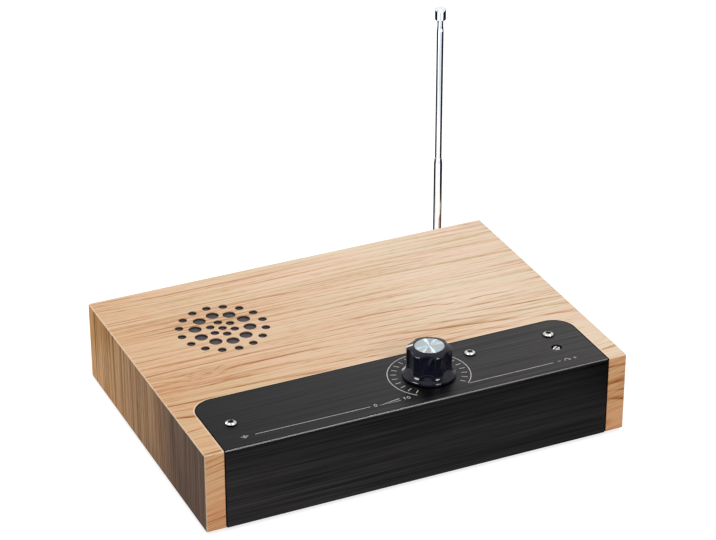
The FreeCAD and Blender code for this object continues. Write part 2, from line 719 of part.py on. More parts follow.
def knob_insert():
    """Brass insert moulded into the knob; the set screw is threaded through it."""
    start = KNOB_AXIS + UP * (KNOB_GAP + KNOB_HOLLOW_HEIGHT)
    body = ring(INSERT_DIAMETER, SHAFT_DIAMETER + 2 * THREAD_CLEARANCE, INSERT_LENGTH, start)
    return body.cut(set_screw_hole())


def knob_set_screw():
    direction = set_screw_direction()
    start = KNOB_AXIS + UP * (KNOB_GAP + SET_SCREW_HEIGHT) + direction * SET_SCREW_START
    sunk = 1.5
    length = KNOB_DIAMETER / 2 - FLUTE_DEPTH - SET_SCREW_START - sunk
    socket = hexagonal(SET_SCREW_SOCKET, SET_SCREW_SOCKET, start + direction * (length - SET_SCREW_SOCKET),
                       direction)
    return rod(SET_SCREW, length, start, direction).cut(socket)


def knob_cap():
    """Spun aluminium disc with a slight crown, let into the top of the knob."""
    base = KNOB_AXIS + UP * (KNOB_GAP + KNOB_HEIGHT - CAP_THICKNESS)
    radius = CAP_DIAMETER / 2
    rim = CAP_THICKNESS - 0.3
    edges = line((0, rim + CAP_CROWN), (0, 0), (radius, 0), (radius, rim))
    return revolved(edges + [crown(radius, rim, CAP_CROWN)], base)


# ---------------------------------------------------------------- volume potentiometer

def pot_body():
    """Drawn can of the potentiometer with the track carrier at its foot."""
    body = rod(POT_DIAMETER, POT_HEIGHT, POT_FACE + DOWN * POT_HEIGHT)
    bore = rod(SHAFT_BORE, POT_HEIGHT, POT_FACE + DOWN * (POT_HEIGHT - WASHER))
    return body.cut(bore)


def pot_bushing():
    return ring(BUSHING_DIAMETER, SHAFT_BORE, SHEET + BUSHING_REACH, POT_FACE)


def pot_shaft():
    """Round shaft with a flat on its upper end, where the set screw bears."""
    bottom = POT_FACE + DOWN * (POT_HEIGHT - WASHER - SHAFT_END_PLAY)
    top = TOP_FACE + SHAFT_REACH
    body = rod(SHAFT_DIAMETER, top - bottom.z, bottom)
    upper_rim = [e for e in body.Edges if e.BoundBox.ZLength < 1e-6 and e.BoundBox.ZMin > top - 1e-3]
    body = body.makeChamfer(0.5, upper_rim)
    flat_from = KNOB_GAP + KNOB_HOLLOW_HEIGHT + 1.0
    flat = block(SET_SCREW_START, SHAFT_DIAMETER, -SHAFT_DIAMETER, SHAFT_DIAMETER, 0, SHAFT_REACH)
    flat.rotate(Vector(), UP, SET_SCREW_ANGLE)
    flat.translate(KNOB_AXIS + UP * flat_from)
    return body.cut(flat)


def pot_washer():
    return ring(POT_NUT + 1.0, BUSHING_DIAMETER + 2 * HOLE_CLEARANCE, WASHER, KNOB_AXIS)


def pot_nut():
    start = KNOB_AXIS + UP * WASHER
    nut = hexagonal(POT_NUT, POT_NUT_THICKNESS, start)
    return nut.cut(rod(BUSHING_DIAMETER + 2 * THREAD_CLEARANCE, POT_NUT_THICKNESS, start))


def switch_housing():
    return rod(POT_DIAMETER, SWITCH_HEIGHT, POT_FACE + DOWN * (POT_HEIGHT + SWITCH_HEIGHT))


def pot_terminal_places():
    """Inner end of each solder tag of the potentiometer, at the back of its can."""
    y = POT_FACE.y + POT_DIAMETER / 2 * 0.8
    z = POT_FACE.z - POT_HEIGHT + 1.0
    return [Vector(POT_FACE.x + TERMINAL_PITCH * k, y, z) for k in (-1, 0, 1)]


def switch_terminal_places():
    """Upper end of each solder tag of the switch, under its housing."""
    z = POT_FACE.z - POT_HEIGHT - SWITCH_HEIGHT
    return [Vector(POT_FACE.x + side * SWITCH_TERMINAL_PITCH / 2, POT_FACE.y, z) for side in (-1, 1)]


def pot_terminals():
    half = TERMINAL_WIDTH / 2
    can = rod(POT_DIAMETER, POT_HEIGHT, POT_FACE + DOWN * POT_HEIGHT)
    tags = [block(p.x - half, p.x + half, p.y, p.y + TERMINAL_LENGTH, p.z, p.z + TERMINAL).cut(can)
            for p in pot_terminal_places()]
    tags += [block(p.x - half, p.x + half, p.y - TERMINAL / 2, p.y + TERMINAL / 2,
                   p.z - SWITCH_TERMINAL_LENGTH, p.z) for p in switch_terminal_places()]
    return group(tags)


# ---------------------------------------------------------------- circuit board

def on_board(u, v, height=0.0):
    """Place on the circuit board, from its near left corner."""
    return Vector(CIRCUIT_LEFT + u, CIRCUIT_NEAR + v, CIRCUIT_TOP + height)


def circuit_board():
    board = block(CIRCUIT_LEFT, CIRCUIT_RIGHT, CIRCUIT_NEAR, CIRCUIT_NEAR + CIRCUIT_DEPTH,
                  CIRCUIT_UNDER, CIRCUIT_TOP)
    return board.cut([rod(PLAIN_HOLE, CIRCUIT_THICKNESS, Vector(place.x, place.y, CIRCUIT_UNDER))
                      for place in (MIDDLE_SCREW, RIGHT_SCREW)])


def spacers():
    shapes = []
    for place in (MIDDLE_SCREW, RIGHT_SCREW):
        start = Vector(place.x, place.y, CIRCUIT_TOP)
        body = hexagonal(SPACER_FLATS, SPACER, start)
        shapes.append(body.cut(rod(SCREW_DIAMETER + 2 * THREAD_CLEARANCE, SPACER, start)))
    return group(shapes)


def trimmer_base():
    half = TRIMMER_SIZE / 2
    x, y = TRIMMER_AXIS.x, TRIMMER_AXIS.y
    body = block(x - half, x + half, y - half, y + half, CIRCUIT_TOP, CIRCUIT_TOP + TRIMMER_HEIGHT)
    upright = [e for e in body.Edges if e.BoundBox.ZLength > 1]
    body = body.makeFillet(1.5, upright)
    bore = rod(TRIMMER_STEM + 2 * RUNNING_CLEARANCE, TRIMMER_HEIGHT, Vector(x, y, CIRCUIT_TOP + WASHER))
    return body.cut(bore)


def trimmer_rotor():
    """Turned rotor: a collar on the trimmer and a slotted stem that ends just inside the panel."""
    foot = Vector(TRIMMER_AXIS.x, TRIMMER_AXIS.y, CIRCUIT_TOP + WASHER + SHAFT_END_PLAY)
    height = TOP_FACE - TRIMMER_SUNK - foot.z
    stem = TRIMMER_STEM / 2
    collar = stem + 1.4
    collar_low = CIRCUIT_TOP + TRIMMER_HEIGHT + SHAFT_END_PLAY - foot.z
    collar_high = collar_low + 1.2
    chamfer = 0.3
    profile = [(0, 0), (stem, 0), (stem, collar_low), (collar, collar_low), (collar, collar_high),
               (stem, collar_high), (stem, height - chamfer), (stem - chamfer, height), (0, height)]
    slot_depth = 1.0
    slot = block(-stem, stem, -0.45, 0.45, 0, 2 * slot_depth)
    slot.rotate(Vector(), UP, 30)
    slot.translate(foot + UP * (height - slot_depth))
    return turned(profile, foot).cut(slot)


def film_column():
    """Left end of the left-hand film capacitors, from the left edge of the board."""
    return CIRCUIT_WIDTH - FILM_FROM_RIGHT - FILM_PITCH - FILM_LENGTH


def oscillator_coils():
    """Screened coils in a row along the back: square cans, each with a slotted core in its top."""
    half = COIL_CAN / 2
    core = 3.2
    core_depth = 1.0
    clearance = 0.2
    first = CHIPS_FROM_LEFT
    pitch = (film_column() - COIL_CAN - first) / (COIL_CANS - 1)
    pieces = []
    for k in range(COIL_CANS):
        p = on_board(first + pitch * k, CIRCUIT_DEPTH - COILS_FROM_BACK)
        can = block(p.x - half, p.x + half, p.y - half, p.y + half, p.z, p.z + COIL_CAN_HEIGHT)
        can = can.makeFillet(0.6, [e for e in can.Edges if e.BoundBox.ZLength > 1])
        seat = p + UP * (COIL_CAN_HEIGHT - core_depth)
        slot = block(p.x - core, p.x + core, p.y - 0.3, p.y + 0.3, seat.z + 0.3, seat.z + core_depth)
        pieces += [can.cut(rod(core + 2 * clearance, core_depth, seat)), rod(core, 0.7, seat).cut(slot)]
    return group(pieces)


def chip(v, length):
    """Dual in-line chip: moulded body with its legs bent down to the board."""
    p = on_board(CHIPS_FROM_LEFT, v)
    low, high = 0.6, 3.8
    body = block(p.x, p.x + length, p.y, p.y + CHIP_WIDTH, p.z + low, p.z + high)
    body = body.cut(rod(1.8, 0.5, Vector(p.x, p.y + CHIP_WIDTH / 2, p.z + high - 0.4)))
    count = int(length / LEG_PITCH)
    leg_width = 0.5
    leg_under = 2.0
    leg_top = leg_under + LEG_SHEET
    first = p.x + (length - LEG_PITCH * (count - 1) - leg_width) / 2
    legs = []
    for k in range(count):
        for side in (-1, 1):
            y = p.y + CHIP_WIDTH / 2 * (1 + side)
            inside = y + side * 0.6
            outside = inside + side * LEG_SHEET
            bent = [(y, leg_under), (inside, leg_under), (inside, 0), (outside, 0), (outside, leg_top),
                    (y, leg_top)]
            leg = outline([Vector(first + LEG_PITCH * k, across, p.z + h) for across, h in bent])
            legs.append(leg.extrude(RIGHT * leg_width))
    return body.fuse(legs)


def chips():
    return group([chip(LONG_CHIP_FROM_FRONT, LONG_CHIP), chip(SHORT_CHIP_FROM_FRONT, SHORT_CHIP)])


def electrolytic_capacitor(u, v, diameter, height):
    """Upright can with a rolled groove near the foot and a rounded top."""
    r = diameter / 2
    groove_low, groove_high = 0.9, 1.6
    groove = (groove_low + groove_high) / 2
    rim = 0.3
    profile = [(0, 0), (r, 0), (r, groove_low), (r - 0.35, groove), (r, groove_high), (r, height - rim),
               (r - rim, height), (0, height)]
    return turned(profile, on_board(u, v))


def electrolytic_capacitors():
    """Two small cans between the long chip and the trimmer, a large one behind them."""
    trimmer_left = TRIMMER_AXIS.x - TRIMMER_SIZE / 2 - CIRCUIT_LEFT
    between_small = (CHIPS_FROM_LEFT + LONG_CHIP + trimmer_left) / 2
    between_large = (CHIPS_FROM_LEFT + SHORT_CHIP + CIRCUIT_WIDTH - RESISTORS_FROM_RIGHT) / 2
    middle = LONG_CHIP_FROM_FRONT + CHIP_WIDTH / 2
    cans = [electrolytic_capacitor(between_small, middle + side * SMALL_CAN, SMALL_CAN, SMALL_CAN_HEIGHT)
            for side in (-0.8, 0.8)]
    cans.append(electrolytic_capacitor(between_large, SHORT_CHIP_FROM_FRONT + CHIP_WIDTH / 2,
                                       LARGE_CAN, LARGE_CAN_HEIGHT))
    return cans


def film_capacitors():
    """Four box-shaped capacitors in the back right corner of the board."""
    bodies = []
    for column in (0, 1):
        for row in (0, 1):
            from_back = FILM_FROM_BACK + FILM_ROW_PITCH * row + FILM_WIDTH
            p = on_board(film_column() + FILM_PITCH * column, CIRCUIT_DEPTH - from_back)
            body = block(p.x, p.x + FILM_LENGTH, p.y, p.y + FILM_WIDTH, p.z, p.z + FILM_HEIGHT)
            upper = [e for e in body.Edges if e.BoundBox.ZMin > p.z + 1]
            bodies.append(body.makeFillet(0.5, upper))
    return bodies


def resistor(u, v):
    """Resistor lying flat, with its two wires bent down to the board."""
    lift = 1.3
    wire = 0.6
    wire_length = 1.0
    near = on_board(u, v, lift)
    far = near + BACKWARDS * RESISTOR_LENGTH
    body = rod(2.2, RESISTOR_LENGTH, near, BACKWARDS)
    wires = [rod(wire, wire_length, near, FORWARDS), rod(wire, wire_length, far, BACKWARDS),
             rod(wire, lift, near + FORWARDS * wire_length + DOWN * lift),
             rod(wire, lift, far + BACKWARDS * wire_length + DOWN * lift)]
    return body.fuse(wires)


def resistors():
    """Three beside the right spacer and two at the left edge."""
    right = CIRCUIT_WIDTH - RESISTORS_FROM_RIGHT
    bodies = [resistor(right + RESISTOR_PITCH * k, RIGHT_RESISTORS_FROM_FRONT) for k in range(3)]
    return bodies + [resistor(RESISTOR_PITCH * k, LEFT_RESISTORS_FROM_FRONT) for k in (1, 2)]


def board_components():
    return group(electrolytic_capacitors() + film_capacitors() + resistors())


# ---------------------------------------------------------------- loudspeaker

def under_grille(height):
    """Point on the loudspeaker's axis, height above (or below) the face of its flange."""
    return Vector(SPEAKER_AXIS.x, SPEAKER_AXIS.y, FLANGE_FACE + height)


def grille_cloth():
    return rod(SPEAKER_DIAMETER, CLOTH, under_grille(GASKET))


def speaker_gasket():
    return ring(SPEAKER_DIAMETER, SPEAKER_DIAMETER - 2 * GASKET_WIDTH, GASKET, under_grille(0))


def speaker_basket():
    """Pressed basket: flange, sloping wall with four windows, spider shelf and flat back."""
    t = BASKET_SHEET
    inner_back = BASKET_BACK - t
    profile = [(FLANGE_INNER, 0), (SPEAKER_RADIUS, 0), (SPEAKER_RADIUS, -t), (FLANGE_INNER + t, -t),
               (FLANGE_INNER + t, -ROLL_ROOM), (BASKET_BACK, SHELF_HEIGHT), (BASKET_BACK, -BASKET_DEPTH),
               (PLATE_BORE, -BASKET_DEPTH), (PLATE_BORE, t - BASKET_DEPTH), (inner_back, t - BASKET_DEPTH),
               (inner_back, SHELF_HEIGHT), (FLANGE_INNER, -ROLL_ROOM)]
    shell = turned(profile, under_grille(0))
    window_half = 8.5
    window = block(BASKET_BACK - 2 * t, SPEAKER_RADIUS, -window_half, window_half,
                   SHELF_HEIGHT + 1.2, -ROLL_ROOM - 0.8)
    window.translate(under_grille(0))
    return shell.cut(around(window, SPEAKER_AXIS, 4, 0))


def speaker_magnet():
    low = -BASKET_DEPTH - YOKE_THICKNESS - MAGNET_THICKNESS
    return ring(MAGNET_DIAMETER, 2 * PLATE_BORE + 4, MAGNET_THICKNESS, under_grille(low))


def speaker_yoke():
    """Soft iron: back plate with its pole, and the front plate on the other side of the magnet."""
    low = -BASKET_DEPTH - 2 * YOKE_THICKNESS - MAGNET_THICKNESS
    radius = MAGNET_DIAMETER / 2 - 1.0
    chamfer = 0.6
    profile = [(0, low), (radius - chamfer, low), (radius, low + chamfer), (radius, low + YOKE_THICKNESS),
               (POLE, low + YOKE_THICKNESS), (POLE, -BASKET_DEPTH), (0, -BASKET_DEPTH)]
    front_plate = ring(2 * BASKET_BACK - 3, 2 * PLATE_BORE, YOKE_THICKNESS,
                       under_grille(-BASKET_DEPTH - YOKE_THICKNESS))
    return group([turned(profile, under_grille(0)), front_plate])


def cone_and_former():
    """Paper cone with the former of the voice coil glued into its neck."""
    neck = COIL_DIAMETER / 2
    inner = neck - COIL_WALL
    t = CONE_SHEET
    foot = -(BASKET_DEPTH + YOKE_THICKNESS - 0.3)
    middle = (CONE_RADIUS + neck) / 2 - 0.6
    middle_height = -CONE_DEPTH * 0.56
    edges = [arc((CONE_RADIUS, 0), (middle, middle_height), (neck, -CONE_DEPTH))]
    edges += line((neck, -CONE_DEPTH), (inner, -CONE_DEPTH), (inner, foot), (neck, foot),
                  (neck, -CONE_DEPTH - t))
    edges += [arc((neck, -CONE_DEPTH - t), (middle, middle_height - t), (CONE_RADIUS, -t))]
    edges += line((CONE_RADIUS, -t), (CONE_RADIUS, 0))
    return revolved(edges, under_grille(0))


def dust_cap():
    """Domed cap glued over the end of the voice coil former."""
    radius = COIL_DIAMETER / 2
    rise = 2.6
    low = -CONE_DEPTH
    inner = radius - COIL_WALL
    edges = [crown(radius, low, rise + CONE_SHEET)] + line((0, low + rise + CONE_SHEET), (0, low + rise))
    edges += [crown(inner, low, rise)] + line((inner, low), (radius, low))
    return revolved(edges, under_grille(0))


def speaker_cone():
    return group([cone_and_former(), dust_cap()])


def speaker_surround():
    """Half-roll that carries the edge of the cone; it bulges to the back."""
    t = SURROUND_SHEET
    outer = CONE_RADIUS + SURROUND_WIDTH
    middle = CONE_RADIUS + SURROUND_WIDTH / 2
    bulge = SURROUND_WIDTH / 2
    lip = SPEAKER_RADIUS - GASKET_WIDTH - 0.1
    edges = [arc((CONE_RADIUS, 0), (middle, -bulge), (outer, 0))]
    edges += line((outer, 0), (lip, 0), (lip, t), (outer - t, t))
    edges += [arc((outer - t, t), (middle, 1.5 * t - bulge), (CONE_RADIUS + t, t))]
    edges += line((CONE_RADIUS + t, t), (CONE_RADIUS, 0))
    return revolved(edges, under_grille(0))


def speaker_spider():
    """Corrugated disc that centres the voice coil."""
    thickness = 0.3
    inner = COIL_DIAMETER / 2
    outer = BASKET_BACK - BASKET_SHEET
    waves = 4
    wave_height = 0.5
    trough = SHELF_HEIGHT - 0.9
    pitch = (outer - inner) / (2 * waves)
    top = [(inner + pitch * k, trough + wave_height * (k % 2)) for k in range(2 * waves + 1)]
    low = [(r, h - thickness) for r, h in reversed(top)]
    return turned(top + low, under_grille(0))


def speaker_terminals():
    """Small board on the side of the basket with two solder tags."""
    half = SPEAKER_TAG_PITCH / 2 + 2.5
    inside = BASKET_BACK
    outside = inside + SPEAKER_TERMINAL_BOARD
    carrier = block(-half, half, inside, outside, -BASKET_DEPTH, SHELF_HEIGHT)
    tags = [block(x - 1.0, x + 1.0, outside, outside + SPEAKER_TAG_LENGTH,
                  SPEAKER_TAG_HEIGHT, SPEAKER_TAG_HEIGHT + 0.5)
            for x in (-SPEAKER_TAG_PITCH / 2, SPEAKER_TAG_PITCH / 2)]
    body = carrier.cut(rod(2 * BASKET_BACK, BASKET_DEPTH, Vector(0, 0, -BASKET_DEPTH))).fuse(tags)
    body.rotate(Vector(), UP, SPEAKER_TERMINAL_TURN)
    body.translate(under_grille(0))
    return body


def speaker_clamp():
    """Z-shaped clamp: its tongue holds the flange up, its foot is screwed under the top board."""
    t = CLAMP_SHEET
    tongue = -BASKET_SHEET
    foot = CEILING - FLANGE_FACE
    wall = SPEAKER_RADIUS - 0.2
    inner = FLANGE_INNER + BASKET_SHEET + 0.6
    points = [(inner, tongue), (wall, tongue), (wall, foot), (wall + CLAMP_REACH, foot),
              (wall + CLAMP_REACH, foot - t), (wall - t, foot - t), (wall - t, tongue - t),
              (inner, tongue - t)]
    body = outline([Vector(r, -CLAMP_WIDTH / 2, h) for r, h in points]).extrude(BACKWARDS * CLAMP_WIDTH)
    hole = rod(CLAMP_SCREW + 2 * HOLE_CLEARANCE, 3 * t, Vector(clamp_screw_radius(), 0, foot - 2 * t))
    body = body.cut(hole)
    body.translate(under_grille(0))
    return body


def clamp_screw_radius():
    return SPEAKER_RADIUS + CLAMP_REACH / 2


def clamp_angles():
    return [45.0 + 360.0 * k / CLAMPS for k in range(CLAMPS)]


def clamp_screw_places():
    radius = clamp_screw_radius()
    return [Vector(SPEAKER_AXIS.x + radius * math.cos(math.radians(a)),
                   SPEAKER_AXIS.y + radius * math.sin(math.radians(a)), CEILING) for a in clamp_angles()]


def speaker_clamps():
    return group(around(speaker_clamp(), SPEAKER_AXIS, CLAMPS, clamp_angles()[0]))


def clamp_screws():
    """Short pan-headed wood screws that hold the clamps."""
    head = CLAMP_SCREW_HEAD / 2
    shank = CLAMP_SCREW / 2
    under = -CLAMP_SHEET
    end = under - CLAMP_SCREW_HEAD_HEIGHT
    chamfer = 0.6
    profile = [(0, end), (head - chamfer, end), (head, end + chamfer), (head, under), (shank, under),
               (shank, CLAMP_SCREW_DEPTH - 1.0), (0, CLAMP_SCREW_DEPTH)]
    return group([turned(profile, place).cut(cross_recess(place + UP * end, UP, 2.8, 0.9))
                  for place in clamp_screw_places()])


# ---------------------------------------------------------------- battery

def battery():
    """Nine-volt block lying on its side, with its two round contacts to the left."""
    half = BATTERY_WIDTH / 2
    body = block(BATTERY_END - BATTERY_LENGTH, BATTERY_END, BATTERY_Y - half, BATTERY_Y + half,
                 BATTERY_Z, BATTERY_Z + BATTERY_HEIGHT)
    body = body.makeFillet(2.0, [e for e in body.Edges if e.BoundBox.XLength > 10])
    contacts = [rod(CONTACT_DIAMETER, CONTACT_HEIGHT, place, RIGHT * -1) for place in contact_places()]
    return body.fuse(contacts)


def contact_places():
    z = BATTERY_Z + BATTERY_HEIGHT / 2
    return [Vector(BATTERY_END - BATTERY_LENGTH, BATTERY_Y + s * CONTACT_PITCH / 2, z) for s in (-1, 1)]


def battery_snap():
    """Snap connector pressed over the two contacts of the battery."""
    face = BATTERY_END - BATTERY_LENGTH
    middle = BATTERY_Z + BATTERY_HEIGHT / 2
    half = BATTERY_WIDTH / 2 - 0.5
    body = block(face - SNAP_THICKNESS, face, BATTERY_Y - half, BATTERY_Y + half,
                 middle - SNAP_HEIGHT / 2, middle + SNAP_HEIGHT / 2)
    body = body.makeFillet(3.0, [e for e in body.Edges if e.BoundBox.XLength > 1])
    clearance = 0.1
    return body.cut([rod(CONTACT_DIAMETER + clearance, CONTACT_HEIGHT + clearance, place, RIGHT * -1)
                     for place in contact_places()])


def battery_clip():
    """Spring clip: a plate riveted to the base and two arms with splayed lips."""
    x0 = BATTERY_END - BATTERY_LENGTH / 2 - CLIP_LENGTH / 2
    half = BATTERY_WIDTH / 2
    t = CLIP_SHEET
    bend = BATTERY_HEIGHT * 0.8
    tip = bend + CLIP_LIP
    splay = CLIP_LIP * 2 / 3
    inner = [(half + splay, tip), (half, bend), (half, t)]
    outer = [(half + t, 0), (half + t, bend), (half + t + splay, tip)]
    right = outer + inner
    left = [(-y, h) for y, h in reversed(right)]
    section = outline([Vector(x0, BATTERY_Y + y, FLOOR + h) for y, h in right + left])
    body = section.extrude(RIGHT * CLIP_LENGTH)
    body = body.cut([clip_rivet(x, RIVET_CLEARANCE) for x in clip_rivet_places()])
    return group([body] + [clip_rivet(x) for x in clip_rivet_places()])


def clip_rivet_places():
    middle = BATTERY_END - BATTERY_LENGTH / 2
    return [middle - CLIP_LENGTH / 4, middle + CLIP_LENGTH / 4]


def clip_rivet(x, clearance=0.0):
    """Countersunk rivet, flush at both ends, through the clip and the base board."""
    r = RIVET / 2 + clearance
    low_head = 0.8
    high_head = 0.6
    height = BASE_BOARD + CLIP_SHEET
    profile = [(0, 0), (r + low_head, 0), (r, low_head), (r, height - high_head), (r + high_head, height),
               (0, height)]
    return turned(profile, Vector(x, BATTERY_Y, UNDERSIDE))


# ---------------------------------------------------------------- antenna

def antenna_mount():
    """Turned mount fixed to the back board; the fork turns on its spigot under the flared end."""
    bore = SCREW_RADIUS + THREAD_CLEARANCE
    length = MOUNT_THICKNESS + FORK_RING
    profile = [(bore, 0), (MOUNT_DIAMETER / 2, 0), (MOUNT_DIAMETER / 2, MOUNT_THICKNESS),
               (SPIGOT / 2, MOUNT_THICKNESS), (SPIGOT / 2, length - FLARE),
               (SPIGOT_FLARE / 2, length), (bore, length)]
    return turned(profile, ANTENNA_AXIS, BACKWARDS)


def antenna_fork():
    """Fork of the elbow: a ring that turns on the mount, a web and two ears for the pin."""
    gap = RUNNING_CLEARANCE
    end = MOUNT_THICKNESS + FORK_RING + 0.6
    seat = MOUNT_THICKNESS + FORK_RING
    spigot = SPIGOT / 2 + gap
    flare = SPIGOT_FLARE / 2 + 2 * gap
    outer = MOUNT_DIAMETER / 2
    profile = [(spigot, MOUNT_THICKNESS + gap), (outer, MOUNT_THICKNESS + gap), (outer, end), (flare, end),
               (flare, seat), (spigot, seat - FLARE)]
    body = turned(profile, ANTENNA_AXIS, BACKWARDS)
    inner = TONGUE / 2 + gap
    low = ELBOW.z - ELBOW_RADIUS
    high = ELBOW.z + ELBOW_RADIUS
    ears = []
    for x in (ELBOW.x - inner - EAR, ELBOW.x + inner):
        ears.append(rod(2 * ELBOW_RADIUS, EAR, Vector(x, ELBOW.y, ELBOW.z), RIGHT))
        ears.append(block(x, x + EAR, BACK_FACE + end, ELBOW.y, low, high))
    web_sheet = 0.5
    reach = inner + EAR
    web = block(ELBOW.x - reach, ELBOW.x + reach, BACK_FACE + end - web_sheet, BACK_FACE + end, low, high)
    web = web.cut(rod(2 * flare, 4 * web_sheet, ANTENNA_AXIS + BACKWARDS * (end - 2 * web_sheet), BACKWARDS))
    pin_hole = rod(PIN_DIAMETER, 4 * reach, ELBOW - RIGHT * (2 * reach), RIGHT)
    return body.fuse(ears + [web]).cut(pin_hole)


def elbow_pin():
    """Rivet through the elbow with a low chamfered head at each end."""
    half = TONGUE / 2 + RUNNING_CLEARANCE + EAR
    shank = PIN_DIAMETER / 2
    head = shank + 0.7
    end = half + 0.6
    upper = [(shank, 0), (shank, half), (head, half), (head, half + 0.3), (head - 0.4, end), (0, end)]
    lower = [(r, -h) for r, h in reversed(upper)]
    return turned(lower[:-1] + upper[1:], ELBOW, RIGHT)


def antenna_knuckle():
    """Tongue that turns between the ears, with a shoulder and a plug that closes the lower tube."""
    half = ELBOW_RADIUS - 1.2
    side = TONGUE / 2
    shoulder_height = 0.6
    foot = Vector(ELBOW.x, ELBOW.y, TUBE_FOOT)
    tongue = rod(2 * (ELBOW_RADIUS - 0.2), TONGUE, ELBOW - RIGHT * side, RIGHT)
    neck = block(ELBOW.x - side, ELBOW.x + side, ELBOW.y - half, ELBOW.y + half, ELBOW.z, TUBE_FOOT)
    shoulder = rod(TUBE_DIAMETERS[0], shoulder_height, foot + DOWN * shoulder_height)
    plug = rod(TUBE_DIAMETERS[0] - 2 * TUBE_WALL, PLUG, foot)
    bore = rod(PIN_DIAMETER + 2 * RUNNING_CLEARANCE, 4 * side, ELBOW - RIGHT * (2 * side), RIGHT)
    return tongue.fuse([neck, shoulder, plug]).cut(bore)


def bore_for(index):
    """Bore that guides antenna section index + 1."""
    return TUBE_DIAMETERS[index + 1] / 2 + RUNNING_CLEARANCE


def section_tube(index, foot, top):
    """Telescopic tube whose mouth is drawn in to guide the next section; its collar slides in the last."""
    outer = TUBE_DIAMETERS[index] / 2
    inner = outer - TUBE_WALL
    mouth = top - MOUTH_LENGTHS[index]
    guide = bore_for(index)
    lip = guide + TUBE_WALL * 0.6
    lip_foot = top - 1.0
    profile = [(inner, foot), (outer, foot), (outer, mouth), (lip, lip_foot), (lip, top), (guide, top),
               (guide, lip_foot), (inner, mouth)]
    if index > 0:
        collar = TUBE_DIAMETERS[index - 1] / 2 - TUBE_WALL - RUNNING_CLEARANCE
        length = COLLARS[index - 1]
        profile[1:2] = [(collar, foot), (collar, foot + length), (outer, foot + length + COLLAR_TAPER)]
    return turned(profile, Vector(ELBOW.x, ELBOW.y, 0))


def antenna_tube_1():
    return section_tube(0, TUBE_FOOT, TUBE_1_TOP)


def antenna_tube_2():
    return section_tube(1, TUBE_2_FOOT, TUBE_2_TOP)


def antenna_tube_3():
    return section_tube(2, TUBE_3_FOOT, TUBE_2_TOP)


def antenna_rod():
    """Innermost section: a solid rod with a collar at its foot."""
    r = TUBE_DIAMETERS[3] / 2
    collar = TUBE_DIAMETERS[2] / 2 - TUBE_WALL - RUNNING_CLEARANCE
    collar_top = ROD_FOOT + COLLARS[2]
    top = TUBE_2_TOP + NECK_LENGTH
    profile = [(0, ROD_FOOT), (collar, ROD_FOOT), (collar, collar_top), (r, collar_top + COLLAR_TAPER),
               (r, top), (0, top)]
    return turned(profile, Vector(ELBOW.x, ELBOW.y, 0))


def antenna_tip():
    """Turned tip: short neck, bevelled shoulder, body with a rounded top."""
    base = TUBE_2_TOP + SECTION_END_PLAY / 2
    shoulder = TUBE_2_TOP + NECK_LENGTH
    top = shoulder + TIP_LENGTH
    bore = TUBE_DIAMETERS[3] / 2
    neck = NECK_DIAMETER / 2
    radius = TIP_DIAMETER / 2
    side_end = (radius, top - TIP_ROUND)
    top_start = (radius - TIP_ROUND, top)
    halfway = TIP_ROUND * (1 - math.sqrt(0.5))
    edges = line((bore, base), (neck, base), (neck, shoulder), (radius, shoulder + TIP_BEVEL), side_end)
    edges += [arc(side_end, (radius - halfway, top - halfway), top_start)]
    edges += line(top_start, (0, top), (0, shoulder), (bore, shoulder), (bore, base))
    return revolved(edges, Vector(ELBOW.x, ELBOW.y, 0))


def antenna_screw():
    return pan_screw(ANTENNA_LUG_PLACE, ANTENNA_SCREW_LENGTH, FORWARDS)


# ---------------------------------------------------------------- leads

def lead(points):
    """Insulated wire: straight runs joined by tangent arcs."""
    edges = []
    start = points[0]
    for before, corner, after in zip(points, points[1:], points[2:]):
        run_in = corner - before
        run_out = after - corner
        shorter = min(run_in.Length, run_out.Length)
        back = 0.45 * shorter
        u = Vector(run_in).normalize()
        v = Vector(run_out).normalize()
        half_turn = u.getAngle(v) / 2
        radius = back / math.tan(half_turn)
        inwards = Vector(v - u).normalize()
        first = corner - u * back
        last = corner + v * back
        middle = corner + inwards * (radius / math.cos(half_turn) - radius)
        edges.append(Part.makeLine(start, first))
        edges.append(Part.Arc(first, middle, last).toShape())
        start = last
    edges.append(Part.makeLine(start, points[-1]))
    path = Part.Wire(edges)
    section = Part.Wire([Part.makeCircle(LEAD_DIAMETER / 2, points[0], points[1] - points[0])])
    return path.makePipeShell([section], True, False)


def left_pad(row):
    """Place under the left edge of the circuit board where a lead is soldered."""
    return Vector(CIRCUIT_LEFT + PAD_INSET, CIRCUIT_NEAR + PAD_INSET + PAD_PITCH * row, CIRCUIT_UNDER)


def back_pad(x):
    """Place under the back edge of the circuit board where a lead is soldered."""
    return Vector(x, CIRCUIT_NEAR + CIRCUIT_DEPTH - PAD_INSET, CIRCUIT_UNDER)


def share(start, end, part, height):
    """Point above or below the straight way from start to end."""
    return Vector(start.x + (end.x - start.x) * part, start.y + (end.y - start.y) * part, height)


def pot_leads():
    """Three leads from the tags of the potentiometer to the edge of the circuit board."""
    shapes = []
    for k, place in enumerate(pot_terminal_places()):
        tag = Vector(place.x, place.y + TERMINAL_LENGTH - 1.2, place.z)
        end = left_pad(8 - k)
        low = CIRCUIT_UNDER - 5.0
        shapes.append(lead([tag, tag + DOWN * 6.0, share(tag, end, 0.5, low - 1.5), end + DOWN * 5.0, end]))
    return shapes


